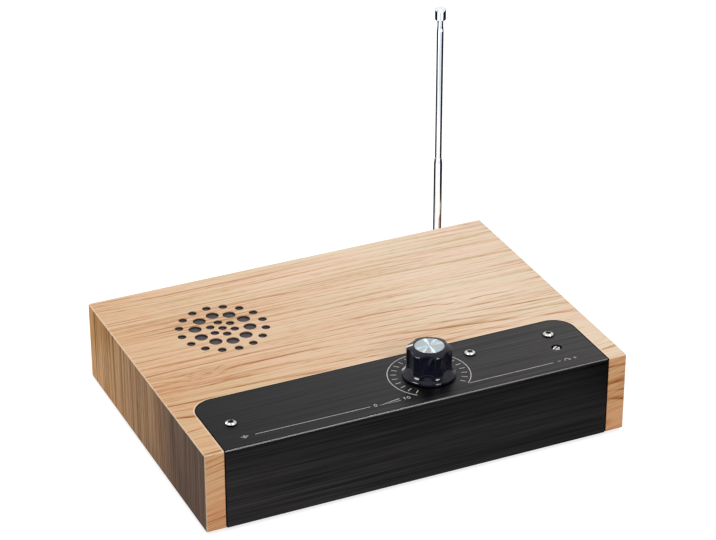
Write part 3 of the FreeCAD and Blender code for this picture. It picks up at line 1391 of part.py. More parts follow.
def switch_leads():
    """Battery lead that goes through the switch: one from the snap, one on to the board."""
    left, right = [place + DOWN * SWITCH_TERMINAL_LENGTH for place in switch_terminal_places()]
    end = left_pad(3)
    low = right.z - 5.0
    to_board = lead([right, Vector(right.x, right.y, low), share(right, end, 0.5, low - 2.0),
                     Vector(end.x, end.y, low), end])
    snap = contact_places()[0] - RIGHT * SNAP_THICKNESS
    from_snap = lead([left, left + DOWN * 6.0, Vector(left.x - 3.0, left.y + 18.0, snap.z - 3.0),
                      Vector(left.x - 4.0, (left.y + snap.y) / 2, snap.z - 5.0),
                      Vector(left.x, snap.y - 12.0, snap.z - 3.0), snap - RIGHT * 12.0, snap])
    return [to_board, from_snap]


def battery_lead():
    """Plain lead from the snap connector to the circuit board."""
    snap = contact_places()[1] - RIGHT * SNAP_THICKNESS
    end = back_pad(CIRCUIT_LEFT + 10.0)
    return lead([snap, snap - RIGHT * 9.0, snap + Vector(-16.0, -12.0, 1.0),
                 Vector(end.x - 2.0, end.y + 12.0, snap.z + 2.0), end + DOWN * 9.0, end])


def speaker_tag_places():
    """Outer ends of the loudspeaker's two solder tags, at their undersides."""
    angle = math.radians(SPEAKER_TERMINAL_TURN)
    across = Vector(math.cos(angle), math.sin(angle), 0)
    outwards = Vector(-math.sin(angle), math.cos(angle), 0)
    reach = BASKET_BACK + SPEAKER_TERMINAL_BOARD + SPEAKER_TAG_LENGTH - 1.0
    return [under_grille(SPEAKER_TAG_HEIGHT) + across * x + outwards * reach
            for x in (-SPEAKER_TAG_PITCH / 2, SPEAKER_TAG_PITCH / 2)]


def speaker_leads():
    shapes = []
    for k, tag in enumerate(speaker_tag_places()):
        end = left_pad(12 - k)
        low = tag.z - 8.0
        shapes.append(lead([tag, Vector(tag.x, tag.y, low), Vector(tag.x + 18.0, tag.y - 3.0, low - 3.0),
                            share(tag, end, 0.5, low - 5.0 + 2.5 * k), Vector(end.x - 14.0, end.y, low - 2.0),
                            Vector(end.x, end.y, low), end]))
    return shapes


def ground_lead():
    angle = math.radians(GROUND_LUG_TURN)
    start = GROUND_LUG_PLACE + Vector(math.cos(angle), math.sin(angle), 0) * (LUG_TAIL - 2 * LUG_EYE)
    end = left_pad(1)
    low = CIRCUIT_UNDER - 10.0
    return lead([start, start + DOWN * 10.0, Vector(start.x + 14.0, start.y - 4.0, low - 1.0),
                 share(start, end, 0.3, low - 4.0), share(start, end, 0.55, low - 6.0),
                 Vector(end.x - 12.0, end.y, low - 2.0), Vector(end.x, end.y, low), end])


def antenna_lead():
    start = ANTENNA_LUG_PLACE + UP * (LUG_TAIL - 2 * LUG_EYE)
    end = back_pad(start.x)
    return lead([start, start + FORWARDS * 8.0, share(start, end, 0.25, start.z + 4.0),
                 share(start, end, 0.5, start.z + 2.0), Vector(end.x, end.y + 10.0, end.z - 10.0),
                 end + DOWN * 9.0, end])


def supply_leads():
    return group(switch_leads() + [battery_lead()])


def signal_leads():
    return group(pot_leads() + speaker_leads() + [ground_lead(), antenna_lead()])


# ---------------------------------------------------------------- all pieces

PIECES = {
    "top_board": top_board,
    "front_board": front_board,
    "back_board": back_board,
    "left_board": lambda: side_board(-1),
    "right_board": lambda: side_board(1),
    "base_board": base_board,
    "corner_blocks": corner_blocks,
    "base_screws": base_screws,
    "feet": feet,
    "control_panel": control_panel,
    "spacer_screws": spacer_screws,
    "ground_screw": ground_screw,
    "ground_nut": ground_nut,
    "washers": washers,
    "ring_lugs": ring_lugs,
    "knob_body": knob_body,
    "knob_insert": knob_insert,
    "knob_set_screw": knob_set_screw,
    "knob_cap": knob_cap,
    "pot_shaft": pot_shaft,
    "pot_body": pot_body,
    "pot_bushing": pot_bushing,
    "pot_washer": pot_washer,
    "pot_nut": pot_nut,
    "pot_terminals": pot_terminals,
    "switch_housing": switch_housing,
    "circuit_board": circuit_board,
    "spacers": spacers,
    "trimmer_base": trimmer_base,
    "trimmer_rotor": trimmer_rotor,
    "oscillator_coils": oscillator_coils,
    "chips": chips,
    "board_components": board_components,
    "grille_cloth": grille_cloth,
    "speaker_gasket": speaker_gasket,
    "speaker_basket": speaker_basket,
    "speaker_magnet": speaker_magnet,
    "speaker_yoke": speaker_yoke,
    "speaker_cone": speaker_cone,
    "speaker_surround": speaker_surround,
    "speaker_spider": speaker_spider,
    "speaker_terminals": speaker_terminals,
    "speaker_clamps": speaker_clamps,
    "clamp_screws": clamp_screws,
    "battery": battery,
    "battery_snap": battery_snap,
    "battery_clip": battery_clip,
    "antenna_mount": antenna_mount,
    "antenna_fork": antenna_fork,
    "elbow_pin": elbow_pin,
    "antenna_knuckle": antenna_knuckle,
    "antenna_tube_1": antenna_tube_1,
    "antenna_tube_2": antenna_tube_2,
    "antenna_tube_3": antenna_tube_3,
    "antenna_rod": antenna_rod,
    "antenna_tip": antenna_tip,
    "antenna_screw": antenna_screw,
    "supply_leads": supply_leads,
    "signal_leads": signal_leads,
}

os.makedirs("parts", exist_ok=True)
for name, maker in PIECES.items():
    maker().exportStep("parts/" + name + ".step")
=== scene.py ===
import math

import bmesh
import bpy
from mathutils import Euler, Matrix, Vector


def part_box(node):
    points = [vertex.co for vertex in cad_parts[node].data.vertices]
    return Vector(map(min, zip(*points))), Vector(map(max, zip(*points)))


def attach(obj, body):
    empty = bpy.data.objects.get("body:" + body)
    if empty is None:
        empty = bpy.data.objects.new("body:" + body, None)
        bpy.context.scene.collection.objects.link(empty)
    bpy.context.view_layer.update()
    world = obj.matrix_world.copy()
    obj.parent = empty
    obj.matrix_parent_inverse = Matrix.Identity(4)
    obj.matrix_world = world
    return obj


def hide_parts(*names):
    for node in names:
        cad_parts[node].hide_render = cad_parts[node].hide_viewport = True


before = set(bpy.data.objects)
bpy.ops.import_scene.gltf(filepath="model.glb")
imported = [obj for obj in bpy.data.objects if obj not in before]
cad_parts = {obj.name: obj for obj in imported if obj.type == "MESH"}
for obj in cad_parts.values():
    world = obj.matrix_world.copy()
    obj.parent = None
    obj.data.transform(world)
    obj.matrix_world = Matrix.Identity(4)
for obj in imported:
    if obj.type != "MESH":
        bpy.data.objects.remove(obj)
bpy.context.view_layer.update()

# ---------------- wooden case
# Top, sides, front and back of the case: 6 mm board with an oak-like veneer glued on and a satin
# lacquer. The corners are mitred and the outer edges eased; a painted highlight runs pale along them.
# The grain runs along the case on the top, front and back, and upright on the sides.

MM = 0.001
TOP_OF_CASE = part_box("top_board")[1].z
CASE_MIDDLE = (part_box("front_board")[0].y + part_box("back_board")[1].y) / 2
HALF_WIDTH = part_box("right_board")[1].x
HALF_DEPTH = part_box("back_board")[1].y - CASE_MIDDLE
GRILLE_AXIS = sum(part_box("grille_cloth"), Vector()) / 2
# The opening for the panel, in mm: a little wider than the panel all round, with rounded corners.
PANEL_GAP = 0.7
OPENING_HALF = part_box("control_panel")[1].x / MM + PANEL_GAP
OPENING_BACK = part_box("control_panel")[1].y / MM + PANEL_GAP
OPENING_CORNER = 12.0 + PANEL_GAP
# The grille's holes all lie within this distance of its axis.
GRILLE_REACH = 30 * MM


def linear(hex_colour):
    """The linear colour that a shader takes, from the sRGB hex value."""
    channels = [int(hex_colour[i : i + 2], 16) / 255 for i in (1, 3, 5)]
    return tuple(c / 12.92 if c <= 0.04045 else ((c + 0.055) / 1.055) ** 2.4 for c in channels) + (1.0,)


def join(node, links):
    """Gives each named input of a node its value, or the node or output that feeds it."""
    for socket, value in links.items():
        if isinstance(value, bpy.types.Node):
            value = value.outputs[0]
        if isinstance(value, bpy.types.NodeSocket):
            node.id_data.links.new(value, node.inputs[socket])
        else:
            node.inputs[socket].default_value = value


def add_node(tree, kind, links=None, stops=(), **settings):
    """Adds a node with its links and settings. A shader node's kind is said without ShaderNode."""
    made = tree.nodes.new(kind if "Node" in kind else "ShaderNode" + kind)
    for name, value in settings.items():
        setattr(made, name, value)
    join(made, links or {})
    for number, (place, colour) in enumerate(stops):
        stop = made.color_ramp.elements[number] if number < 2 else made.color_ramp.elements.new(place)
        stop.position = place
        stop.color = linear(colour)
    return made


# For a map range that eases in and out at its two ends.
SMOOTH = {"interpolation_type": "SMOOTHSTEP"}


def finish_named(name, **sockets):
    """A material with one Principled shader, whose constant values stand on its own sockets, and
    the place of each point in metres."""
    made = bpy.data.materials.new(name)
    made.use_nodes = True
    tree = made.node_tree
    shader = tree.nodes["Principled BSDF"]
    join(shader, {socket.replace("_", " "): value for socket, value in sockets.items()})
    return made, tree, shader, add_node(tree, "TexCoord").outputs["Object"]


def put_in(name, data):
    """A new object with that data, linked to the scene."""
    made = bpy.data.objects.new(name, data)
    bpy.context.scene.collection.objects.link(made)
    return made


def wear(material, *nodes):
    """Gives CAD nodes their finish, on the slots that they came with."""
    for node in nodes:
        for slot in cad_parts[node].material_slots:
            slot.material = material


def away_from(tree, place, axis):
    """How far a place lies from an upright axis."""
    aside = add_node(tree, "VectorMath", {0: place, 1: (*axis, 0)}, operation="SUBTRACT")
    flat = add_node(tree, "VectorMath", {0: aside, 1: (1, 1, 0)}, operation="MULTIPLY")
    return add_node(tree, "VectorMath", {0: flat}, operation="LENGTH").outputs["Value"]


def veneer(name, grain, slant, shift, heart, climb, ring, figure, bands, stops, shade_and_heartwood, eyes=(),
           **sockets):
    """Veneer sliced from a log. grain names the axes along the grain, across it and into the sheet,
    and slant is how far the grain slopes. heart is the place of the log's middle across the grain
    and below the sheet, and climb is how fast the sheet leaves it, which opens the rings into
    flames. ring is the rings' spacing, figure is how far they wander and bands how strongly broad
    bands show. shade_and_heartwood is the way that the wood darkens, partly painted shade and partly
    its own tone, the two places between which it does, its tint, and how much weaker and stronger
    the lines are at its two ends. Each eye is a pin knot: place, half size and lift. In mm."""
    made, tree, shader, place = finish_named(name, IOR=1.5, **sockets)
    in_mm = add_node(tree, "VectorMath", {0: place, "Scale": 1000.0}, operation="SCALE")
    axes = add_node(tree, "SeparateXYZ", {0: in_mm}).outputs
    along, across, deep = [axes[letter] for letter in grain]
    across = add_node(tree, "Math", {0: along, 1: -slant, 2: across}, operation="MULTIPLY_ADD").outputs[0]
    sheet = add_node(tree, "CombineXYZ", {0: along, 1: across, 2: deep})

    # Noise for each feature, from its length and width in mm. Fibres are near 0.2 mm wide and pores
    # near 0.15 mm; they are drawn 1.5 mm and 0.8 mm wide so that they show.
    noise = {}
    for number, (feature, length, width, detail) in enumerate((
            ("wander", 190, 40, 2), ("ripple", 55, 7, 2), ("curl", 9, 4.5, 2), ("fade", 150, 7, 2),
            ("fibre", 100, 1.3, 3), ("thread", 45, 0.8, 2), ("pores", 9, 0.8, 1), ("cloud", 110, 30, 2),
            ("band", 150, 6.5, 2), ("blush", 60, 11, 2))):
        spread = add_node(tree, "Mapping", {
            "Vector": sheet, "Location": (number * 7.3 + shift, number * 3.1, number * 5.7),
            "Scale": (1 / length, 1 / width, 1 / width)})
        spots = add_node(tree, "TexNoise", {"Vector": spread, "Scale": 1.0, "Detail": detail})
        noise[feature] = spots.outputs["Fac"]

    # The log's rings where the sheet cuts them, bent round each pin knot.
    bent = add_node(tree, "Math", {0: noise["wander"], 1: figure, 2: across}, operation="MULTIPLY_ADD")
    bent = add_node(tree, "Math", {0: noise["ripple"], 1: 2.0, 2: bent}, operation="MULTIPLY_ADD")
    aside = add_node(tree, "Math", {0: bent, 1: heart[0] + figure / 2 + 1.0}, operation="SUBTRACT")
    below = add_node(tree, "Math", {0: along, 1: climb, 2: heart[1]}, operation="MULTIPLY_ADD")
    spoke = add_node(tree, "CombineXYZ", {0: aside, 1: below})
    radius = add_node(tree, "VectorMath", {0: spoke}, operation="LENGTH").outputs["Value"]
    for eye, half_size, lift in eyes:
        from_eye = add_node(tree, "VectorMath", {0: sheet, 1: (*eye, 0)}, operation="SUBTRACT")
        from_eye = add_node(tree, "VectorMath", {0: from_eye, 1: (1 / half_size[0], 1 / half_size[1], 0)},
                            operation="MULTIPLY")
        reach = add_node(tree, "VectorMath", {0: from_eye}, operation="LENGTH").outputs["Value"]
        swell = add_node(tree, "MapRange", {"Value": reach, "To Min": lift, "To Max": 0.0}, **SMOOTH)
        radius = add_node(tree, "Math", {0: swell, 1: noise["curl"], 2: radius}, operation="MULTIPLY_ADD")
    year = add_node(tree, "Math", {0: radius, 1: 4 * ring}, operation="DIVIDE")
    year = add_node(tree, "TexNoise", {"W": year, "Scale": 1.0, "Detail": 2.0}, noise_dimensions="1D")
    year = add_node(tree, "Math", {0: year, 1: 2.4 * ring, 2: radius}, operation="MULTIPLY_ADD")
    year = add_node(tree, "Math", {0: year, 1: ring}, operation="DIVIDE")
    season = add_node(tree, "Math", {0: year}, operation="FRACT")
    # Spring pores open at once and thin out through the year, some years more strongly than others.
    spring = add_node(tree, "MapRange", {"Value": season, "From Max": 0.07}, **SMOOTH)
    summer = add_node(tree, "MapRange", {"Value": season, "From Min": 0.07, "From Max": 0.42, "To Min": 1.0,
                                         "To Max": 0.0}, **SMOOTH)
    number_of_year = add_node(tree, "Math", {0: year}, operation="FLOOR")
    strength = add_node(tree, "TexWhiteNoise", {"W": number_of_year}, noise_dimensions="1D")
    strength = add_node(tree, "MapRange", {"Value": strength.outputs["Value"], "To Min": 0.30})
    faded = add_node(tree, "MapRange", {"Value": noise["fade"], "From Min": 0.36, "From Max": 0.60,
                                        "To Min": 0.2}, **SMOOTH)
    line = spring
    for share in (summer, strength, faded):
        line = add_node(tree, "Math", {0: line, 1: share}, operation="MULTIPLY")

    # Painted shade, mixed with the wood's own tone: the wood darkens and takes a tint along the given way.
    way, start, end, tint, strengths = shade_and_heartwood
    depth = add_node(tree, "VectorMath", {0: in_mm, 1: way}, operation="DOT_PRODUCT").outputs["Value"]
    depth = add_node(tree, "Math", {0: noise["cloud"], 1: 70.0, 2: depth}, operation="MULTIPLY_ADD")
    heart_and_shade_share = add_node(tree, "MapRange", {"Value": depth, "From Min": start + 35,
                                                 "From Max": end + 35})

    tone = add_node(tree, "Math", {0: line, 1: 0.50}, operation="MULTIPLY")
    for feature, low, high, share in (("fibre", 0.36, 0.64, 0.24), ("thread", 0.34, 0.68, 0.14),
                                      ("pores", 0.54, 0.70, 0.14), ("cloud", 0.30, 0.72, 0.10),
                                      ("band", 0.36, 0.64, bands)):
        shown = add_node(tree, "MapRange", {"Value": noise[feature], "From Min": low, "From Max": high},
                         **SMOOTH)
        tone = add_node(tree, "Math", {0: shown, 1: share, 2: tone}, operation="MULTIPLY_ADD")
    strength = add_node(tree, "MapRange", {"Value": heart_and_shade_share, "To Min": strengths[0],
                                           "To Max": strengths[1]})
    tone = add_node(tree, "Math", {0: tone, 1: strength}, operation="MULTIPLY")
    colour = add_node(tree, "ValToRGB", {0: tone}, stops=stops)
    colour = add_node(tree, "Mix", {0: heart_and_shade_share, 6: colour, 7: linear(tint)}, data_type="RGBA",
                      blend_type="MULTIPLY").outputs[2]
    # The wood turns a little greener or redder from one band to the next.
    blush = add_node(tree, "ValToRGB", {0: noise["blush"]}, stops=[(0.36, "#FAFCF2"), (0.64, "#FFF9F3")])
    colour = add_node(tree, "Mix", {0: 1.0, 6: colour, 7: blush}, data_type="RGBA",
                      blend_type="MULTIPLY").outputs[2]

    # A painted highlight lies pale along the eased outer edges and along the rim of the opening for the
    # panel. Painted shade colours the wall of that opening dark.
    edge_width = 0.75
    middled = add_node(tree, "VectorMath", {0: in_mm, 1: (0, CASE_MIDDLE / MM, 0)}, operation="SUBTRACT")
    middled = add_node(tree, "VectorMath", {0: middled}, operation="ABSOLUTE")
    eased = Vector((HALF_WIDTH, HALF_DEPTH, TOP_OF_CASE)) / MM - Vector((edge_width,) * 3)
    outer = add_node(tree, "VectorMath", {0: middled, 1: eased}, operation="SUBTRACT")
    outer = add_node(tree, "SeparateXYZ", {0: outer}).outputs
    pairs = [add_node(tree, "Math", {0: outer[one], 1: outer[other]}, operation="MINIMUM")
             for one, other in (("X", "Y"), ("X", "Z"), ("Y", "Z"))]
    corner = add_node(tree, "Math", {0: pairs[0], 1: pairs[1]}, operation="MAXIMUM")
    corner = add_node(tree, "Math", {0: corner, 1: pairs[2]}, operation="MAXIMUM")
    corner = add_node(tree, "MapRange", {"Value": corner, "From Max": 0.35, "To Max": 0.7}, **SMOOTH)
    middled = add_node(tree, "SeparateXYZ", {0: middled}).outputs
    rim = add_node(tree, "CombineXYZ", {0: middled["X"], 1: axes["Y"]})
    straight = (OPENING_HALF - OPENING_CORNER, OPENING_BACK - OPENING_CORNER, 0)
    rim = add_node(tree, "VectorMath", {0: rim, 1: straight}, operation="SUBTRACT")
    rim = add_node(tree, "VectorMath", {0: rim, 1: (0, 0, 0)}, operation="MAXIMUM")
    rim = add_node(tree, "VectorMath", {0: rim}, operation="LENGTH").outputs["Value"]
    # Painted shade: the wall of the panel's opening, below the top, is coloured dark brown.
    wall = add_node(tree, "Math", {0: rim, 1: OPENING_CORNER + 0.1}, operation="LESS_THAN")
    below = add_node(tree, "Math", {0: axes["Z"], 1: TOP_OF_CASE / MM - 0.12}, operation="LESS_THAN")
    wall = add_node(tree, "Math", {0: wall, 1: below}, operation="MULTIPLY")
    rim = add_node(tree, "MapRange", {"Value": rim, "From Min": OPENING_CORNER + 0.5,
                                      "From Max": OPENING_CORNER + 1.1, "To Min": 0.6, "To Max": 0.0},
                   **SMOOTH)
    upper = add_node(tree, "Math", {0: axes["Z"], 1: TOP_OF_CASE / MM - 0.3}, operation="GREATER_THAN")
    rim = add_node(tree, "Math", {0: rim, 1: upper}, operation="MULTIPLY")
    # The painted highlight: pale along the outer edges and along the rim of the opening.
    painted_edge_highlight = add_node(tree, "Math", {0: corner, 1: rim}, operation="MAXIMUM")
    patchy = add_node(tree, "MapRange", {"Value": noise["curl"], "From Min": 0.3, "From Max": 0.6,
                                         "To Min": 0.55})
    painted_edge_highlight = add_node(tree, "Math", {0: painted_edge_highlight, 1: patchy}, operation="MULTIPLY")
    colour = add_node(tree, "Mix", {0: painted_edge_highlight, 6: colour, 7: linear("#F1DCBD")}, data_type="RGBA").outputs[2]
    colour = add_node(tree, "Mix", {0: wall, 6: colour, 7: linear("#2B1C12")}, data_type="RGBA").outputs[2]
    dull = add_node(tree, "MapRange", {"Value": tone, "To Min": 0.42, "To Max": 0.60})
    relief = add_node(tree, "Bump", {"Height": tone, "Distance": 0.03 * MM, "Strength": 0.6}, invert=True)
    join(shader, {"Base Color": colour, "Roughness": dull, "Normal": relief})
    return made, tree, shader, place, axes, colour


# Crown-cut veneer on the top: its lacquer gives a soft sheen over pale wood with thin brown lines
# that run along the case, two pin knots near the front left and the middle, and a darker, warmer
# tone toward the front left, partly the wood's own and partly painted shade.
top_stops = [(0.0, "#ECDAC8"), (1.0, "#9C6438"), (0.34, "#E6CDB7"), (0.66, "#CB9F79")]
oak_top, tree, shader, place, axes, colour = veneer(
    "Oak veneer, crown cut, satin lacquer", "XYZ", 0.0, 0.0, (-62.0, 30.0), 0.10, 4.0, 20.0, 0.05, top_stops,
    ((-1.0, -0.5, 0.0), -80.0, 140.0, "#EDD9C0", (1.12, 1.22)),
    (((-97.0, -20.0), (26.0, 12.0), 13.0), ((66.0, -6.0), (20.0, 8.0), 7.0)), Specular_IOR_Level=0.35)
# The walls of the grille holes, below the veneer, are coloured near black, so that they read as
# one dark opening.
near = away_from(tree, place, GRILLE_AXIS.xy)
inside = add_node(tree, "Math", {0: near, 1: GRILLE_REACH}, operation="LESS_THAN")
sunk = add_node(tree, "Math", {0: axes["Z"], 1: TOP_OF_CASE / MM - 0.5}, operation="LESS_THAN")
dark_walls = add_node(tree, "Math", {0: inside, 1: sunk}, operation="MULTIPLY")
mixed = add_node(tree, "Mix", {0: dark_walls, 6: colour, 7: linear("#41332E")}, data_type="RGBA")
join(shader, {"Base Color": mixed.outputs[2]})
wear(oak_top, "top_board")

# Quarter-cut strips on the sides: straight upright lines, and painted shade that darkens to the front.
side_stops = [(0.0, "#FFD8A0"), (1.0, "#6A4928"), (0.34, "#EAB27A"), (0.66, "#A8784A")]
oak_side = veneer("Oak veneer, quarter cut, satin lacquer", "ZYX", 0.0, 41.0, (-180.0, 30.0), 0.05, 4.0,
                  8.0, 0.14, side_stops, ((0.0, -1.0, 0.0), -70.0, 62.0, "#5F5038", (1.0, 1.1)),
                  Specular_IOR_Level=0.08)[0]
wear(oak_side, "left_board", "right_board")

# Rift-cut strips on the front and back: warm, with slanting lines.
front_stops = [(0.0, "#F2C69B"), (1.0, "#87491F"), (0.34, "#E8B185"), (0.66, "#BE7C48")]
oak_front = veneer("Oak veneer, rift cut, satin lacquer", "XZY", 0.2, 83.0, (-20.0, 26.0), 0.16, 3.4, 14.0,
                   0.06, front_stops, ((0.0, 0.0, -1.0), -60.0, 20.0, "#F2E8DE", (1.0, 1.0)),
                   Specular_IOR_Level=0.3)[0]
wear(oak_front, "front_board", "back_board")

# ---------------- base, blocks and feet
# Inside the case: sawn softwood blocks glued into the corners, a hardboard base screwed up into
# them, and four turned rubber feet stuck under the base.


def mottled(name, light, dark, spots, rough, relief=0.0, stretch=(1, 1, 1), **sockets):
    """A finish that varies between two colours in spots of so many mm, with relief of its own."""
    made, tree, shader, place = finish_named(name, **sockets)
    scale = tuple(1000 / (spots * s) for s in stretch)
    spread = add_node(tree, "Mapping", {"Vector": place, "Scale": scale})
    noise = add_node(tree, "TexNoise", {"Vector": spread, "Scale": 1.0, "Detail": 4.0})
    ramp = add_node(tree, "ValToRGB", {0: noise}, stops=[(0.35, dark), (0.68, light)])
    dull = add_node(tree, "MapRange", {"Value": noise, "From Min": 0.3, "From Max": 0.7, "To Min": rough[0],
                                       "To Max": rough[1]})
    join(shader, {"Base Color": ramp, "Roughness": dull})
    if relief:
        bump = add_node(tree, "Bump", {"Height": noise, "Distance": relief * MM})
        join(shader, {"Normal": bump})
    return made


# Pine, sawn and left bare: pale yellow with saw marks.
wear(mottled("Pine, sawn", "#E3C592", "#C79D63", 2.0, (0.7, 0.85), 0.08, (1, 1, 12)), "corner_blocks")
# Hardboard, pressed: even brown, with a faint sheen on the smooth face.
wear(mottled("Hardboard, pressed", "#7A5637", "#5C3F28", 1.5, (0.45, 0.62), 0.02), "base_board")
# Nitrile rubber, moulded: matt, nearly black.
wear(mottled("Nitrile rubber, moulded", "#26262A", "#191A1C", 0.8, (0.7, 0.82), 0.03), "feet")

# ---------------- control panel
# One 1 mm aluminium sheet bent over the front edge of the case, brushed along its length and
# anodised black. A painted highlight draws a thin grey line along the sharp bend.


def from_nearest_screw(tree, place):
    """How far a place lies from the axis of the nearest of the panel's three screws."""
    low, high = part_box("spacer_screws")
    head = (high.y - low.y) / 2
    ground = sum(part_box("ground_screw"), Vector()) / 2
    nearest = None
    for axis in (ground.xy, (low.x + head, low.y + head), (high.x - head, low.y + head)):
        away = away_from(tree, place, axis)
        nearest = add_node(tree, "Math", {0: away, 1: nearest}, operation="MINIMUM") if nearest else away
    return nearest


anodised, tree, shader, place = finish_named("Aluminium, brushed and black anodised", Metallic=1.0)
# Brush lines are near 0.1 mm; they are drawn 0.5 mm wide, with bands of 1.2 mm, so that they show.
brushed = []
for length, width, detail in ((42, 0.5, 3.0), (110, 1.2, 2.0)):
    scale = (1000 / length, 1000 / width, 1000 / width)
    spread = add_node(tree, "Mapping", {"Vector": place, "Scale": scale})
    brushed.append(add_node(tree, "TexNoise", {"Vector": spread, "Scale": 1.0, "Detail": detail}))
lines = add_node(tree, "Math", {0: brushed[0], 1: brushed[1]}, operation="ADD")
middle = add_node(tree, "Math", {0: lines, 1: 0.5}, operation="MULTIPLY")
ramp = add_node(tree, "ValToRGB", {0: middle}, stops=[(0.34, "#181718"), (0.66, "#383637")])
# Painted light and shade: the top runs from darker at the left to much lighter at the right, the front
# grows darker toward the right, and painted shade darkens the panel round the screw heads.
normal = add_node(tree, "NewGeometry").outputs["Normal"]
upward = add_node(tree, "SeparateXYZ", {0: normal}).outputs["Z"]
rightward = add_node(tree, "SeparateXYZ", {0: place}).outputs["X"]
rightward = add_node(tree, "MapRange", {"Value": rightward, "From Min": -OPENING_HALF * MM,
                                        "From Max": OPENING_HALF * MM})
painted_light_on_top = add_node(tree, "MapRange", {"Value": rightward, "To Min": 0.60, "To Max": 2.0})
painted_shade_on_front = add_node(tree, "MapRange", {"Value": rightward, "To Min": 0.92, "To Max": 0.52})
faded = add_node(tree, "MapRange", {"Value": upward, "To Min": painted_shade_on_front, "To Max": painted_light_on_top})
painted_shade_round_screws = add_node(tree, "MapRange", {"Value": from_nearest_screw(tree, place), "From Min": 3.2 * MM,
                                   "From Max": 4.6 * MM, "To Min": 0.35}, **SMOOTH)
faded = add_node(tree, "Math", {0: faded, 1: painted_shade_round_screws}, operation="MULTIPLY")
ramp = add_node(tree, "VectorMath", {0: ramp, "Scale": faded}, operation="SCALE")
# A painted highlight: a thin grey line where the surface faces up and forward, along the bend.
turned = add_node(tree, "VectorMath", {0: normal, 1: (0, -math.sqrt(0.5), math.sqrt(0.5))},
                  operation="DOT_PRODUCT")
painted_bend_highlight = add_node(tree, "MapRange", {"Value": turned.outputs["Value"], "From Min": 0.955, "From Max": 0.99},
                **SMOOTH)
with_bend_highlight = add_node(tree, "Mix", {0: painted_bend_highlight, 6: ramp, 7: linear("#7E7C7C")}, data_type="RGBA")
dull = add_node(tree, "MapRange", {"Value": lines, "From Min": 0.6, "From Max": 1.4, "To Min": 0.30,
                                   "To Max": 0.48})
bump = add_node(tree, "Bump", {"Height": lines, "Distance": 0.012 * MM})
join(shader, {"Base Color": with_bend_highlight.outputs[2], "Roughness": dull, "Normal": bump})
wear(anodised, "control_panel")

# ---------------- marks printed on the panel
# White epoxy ink, screen printed 0.03 mm thick: the dial's arc and its 21 marks, the two long
# lines, and plain symbols. The ink is matt and a little uneven at this size.

PRINT_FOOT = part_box("control_panel")[1].z - 0.005 * MM
PRINT_THICK = 0.035 * MM
KNOB_AXIS = sum(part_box("knob_cap"), Vector()) / 2
ARC_RADIUS = 22.8
ARC_HALF_ANGLE = 138.0
LINE_Y = -86.85
LINE_WIDTH = 0.34
BAR_WIDTH = 0.45

ink = mottled("Epoxy ink, screen printed white", "#D2D0CC", "#ACAAA6", 0.6, (0.5, 0.65))


def piece_from(name, shape):
    """The object that a shape of bmesh becomes, linked to the scene."""
    made = put_in(name, bpy.data.meshes.new(name))
    shape.to_mesh(made.data)
    shape.free()
    return made


def skin_bar(shape, rims, closed=False):
    """Faces along a bar from its four-cornered rims, with two ends unless it is closed."""
    for near, far in zip(rims, rims[1:] + (rims[:1] if closed else [])):
        for k in range(4):
            shape.faces.new((near[k], near[(k + 1) % 4], far[(k + 1) % 4], far[k]))
    if not closed:
        shape.faces.new(rims[0][::-1])
        shape.faces.new(rims[-1])


def printed(name, strokes, width, closed=False):
    """Lines of ink of one width, in mm, each with its two ends square, as one closed solid."""
    shape = bmesh.new()
    for stroke in strokes:
        points = [Vector(p) * MM for p in stroke]
        rims = []
        for number, point in enumerate(points):
            before = points[number - 1] if number or closed else point
            after = points[(number + 1) % len(points)] if number < len(points) - 1 or closed else point
            ahead = (after - before).normalized()
            side = Vector((-ahead.y, ahead.x))
            if before != point and after != point:
                lean = side.dot(Vector((-(point - before).y, (point - before).x)).normalized())
                side = side / max(lean, 0.5)
            side = side * width * MM / 2
            rims.append([shape.verts.new((*(point + side * s), PRINT_FOOT + h))
                         for s, h in ((1, 0), (-1, 0), (-1, PRINT_THICK), (1, PRINT_THICK))])
        skin_bar(shape, rims, closed)
    bmesh.ops.recalc_face_normals(shape, faces=shape.faces)
    made = piece_from(name, shape)
    made.data.materials.append(ink)
    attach(made, "case")


def around_knob(angle, radius):
    """The place on the panel at that dial angle, clockwise from straight back."""
    turn = math.radians(angle)
    return (KNOB_AXIS.x / MM + radius * math.sin(turn), KNOB_AXIS.y / MM + radius * math.cos(turn))


arc = [around_knob(-ARC_HALF_ANGLE + 2 * ARC_HALF_ANGLE * k / 96, ARC_RADIUS) for k in range(97)]
printed("dial_arc", [arc], BAR_WIDTH)
printed("panel_lines", [[(-92.6, LINE_Y + 0.4), (-26.5, LINE_Y)], [(32.6, LINE_Y), (84.0, LINE_Y)]],
        LINE_WIDTH)

# The marks: one tree of Geometry Nodes puts a bar at every 13.5 degrees, from its named sizes.
ticks = bpy.data.node_groups.new("Marks of the dial", "GeometryNodeTree")
for name, kind in (("Count", "NodeSocketInt"), ("First angle", "NodeSocketFloat"),
                   ("Step angle", "NodeSocketFloat"), ("Middle radius", "NodeSocketFloat"),
                   ("Bar", "NodeSocketVector"), ("Centre", "NodeSocketVector"),
                   ("Ink", "NodeSocketMaterial")):
    ticks.interface.new_socket(name=name, in_out="INPUT", socket_type=kind)
ticks.interface.new_socket(name="Marks", in_out="OUTPUT", socket_type="NodeSocketGeometry")
given = add_node(ticks, "NodeGroupInput").outputs
index = add_node(ticks, "GeometryNodeInputIndex").outputs[0]
stepped = add_node(ticks, "Math", {0: index, 1: given["Step angle"]}, operation="MULTIPLY")
angle = add_node(ticks, "Math", {0: stepped, 1: given["First angle"]}, operation="ADD")
turn = add_node(ticks, "Math", {0: angle}, operation="RADIANS").outputs[0]
sine = add_node(ticks, "Math", {0: turn}, operation="SINE")
cosine = add_node(ticks, "Math", {0: turn}, operation="COSINE")
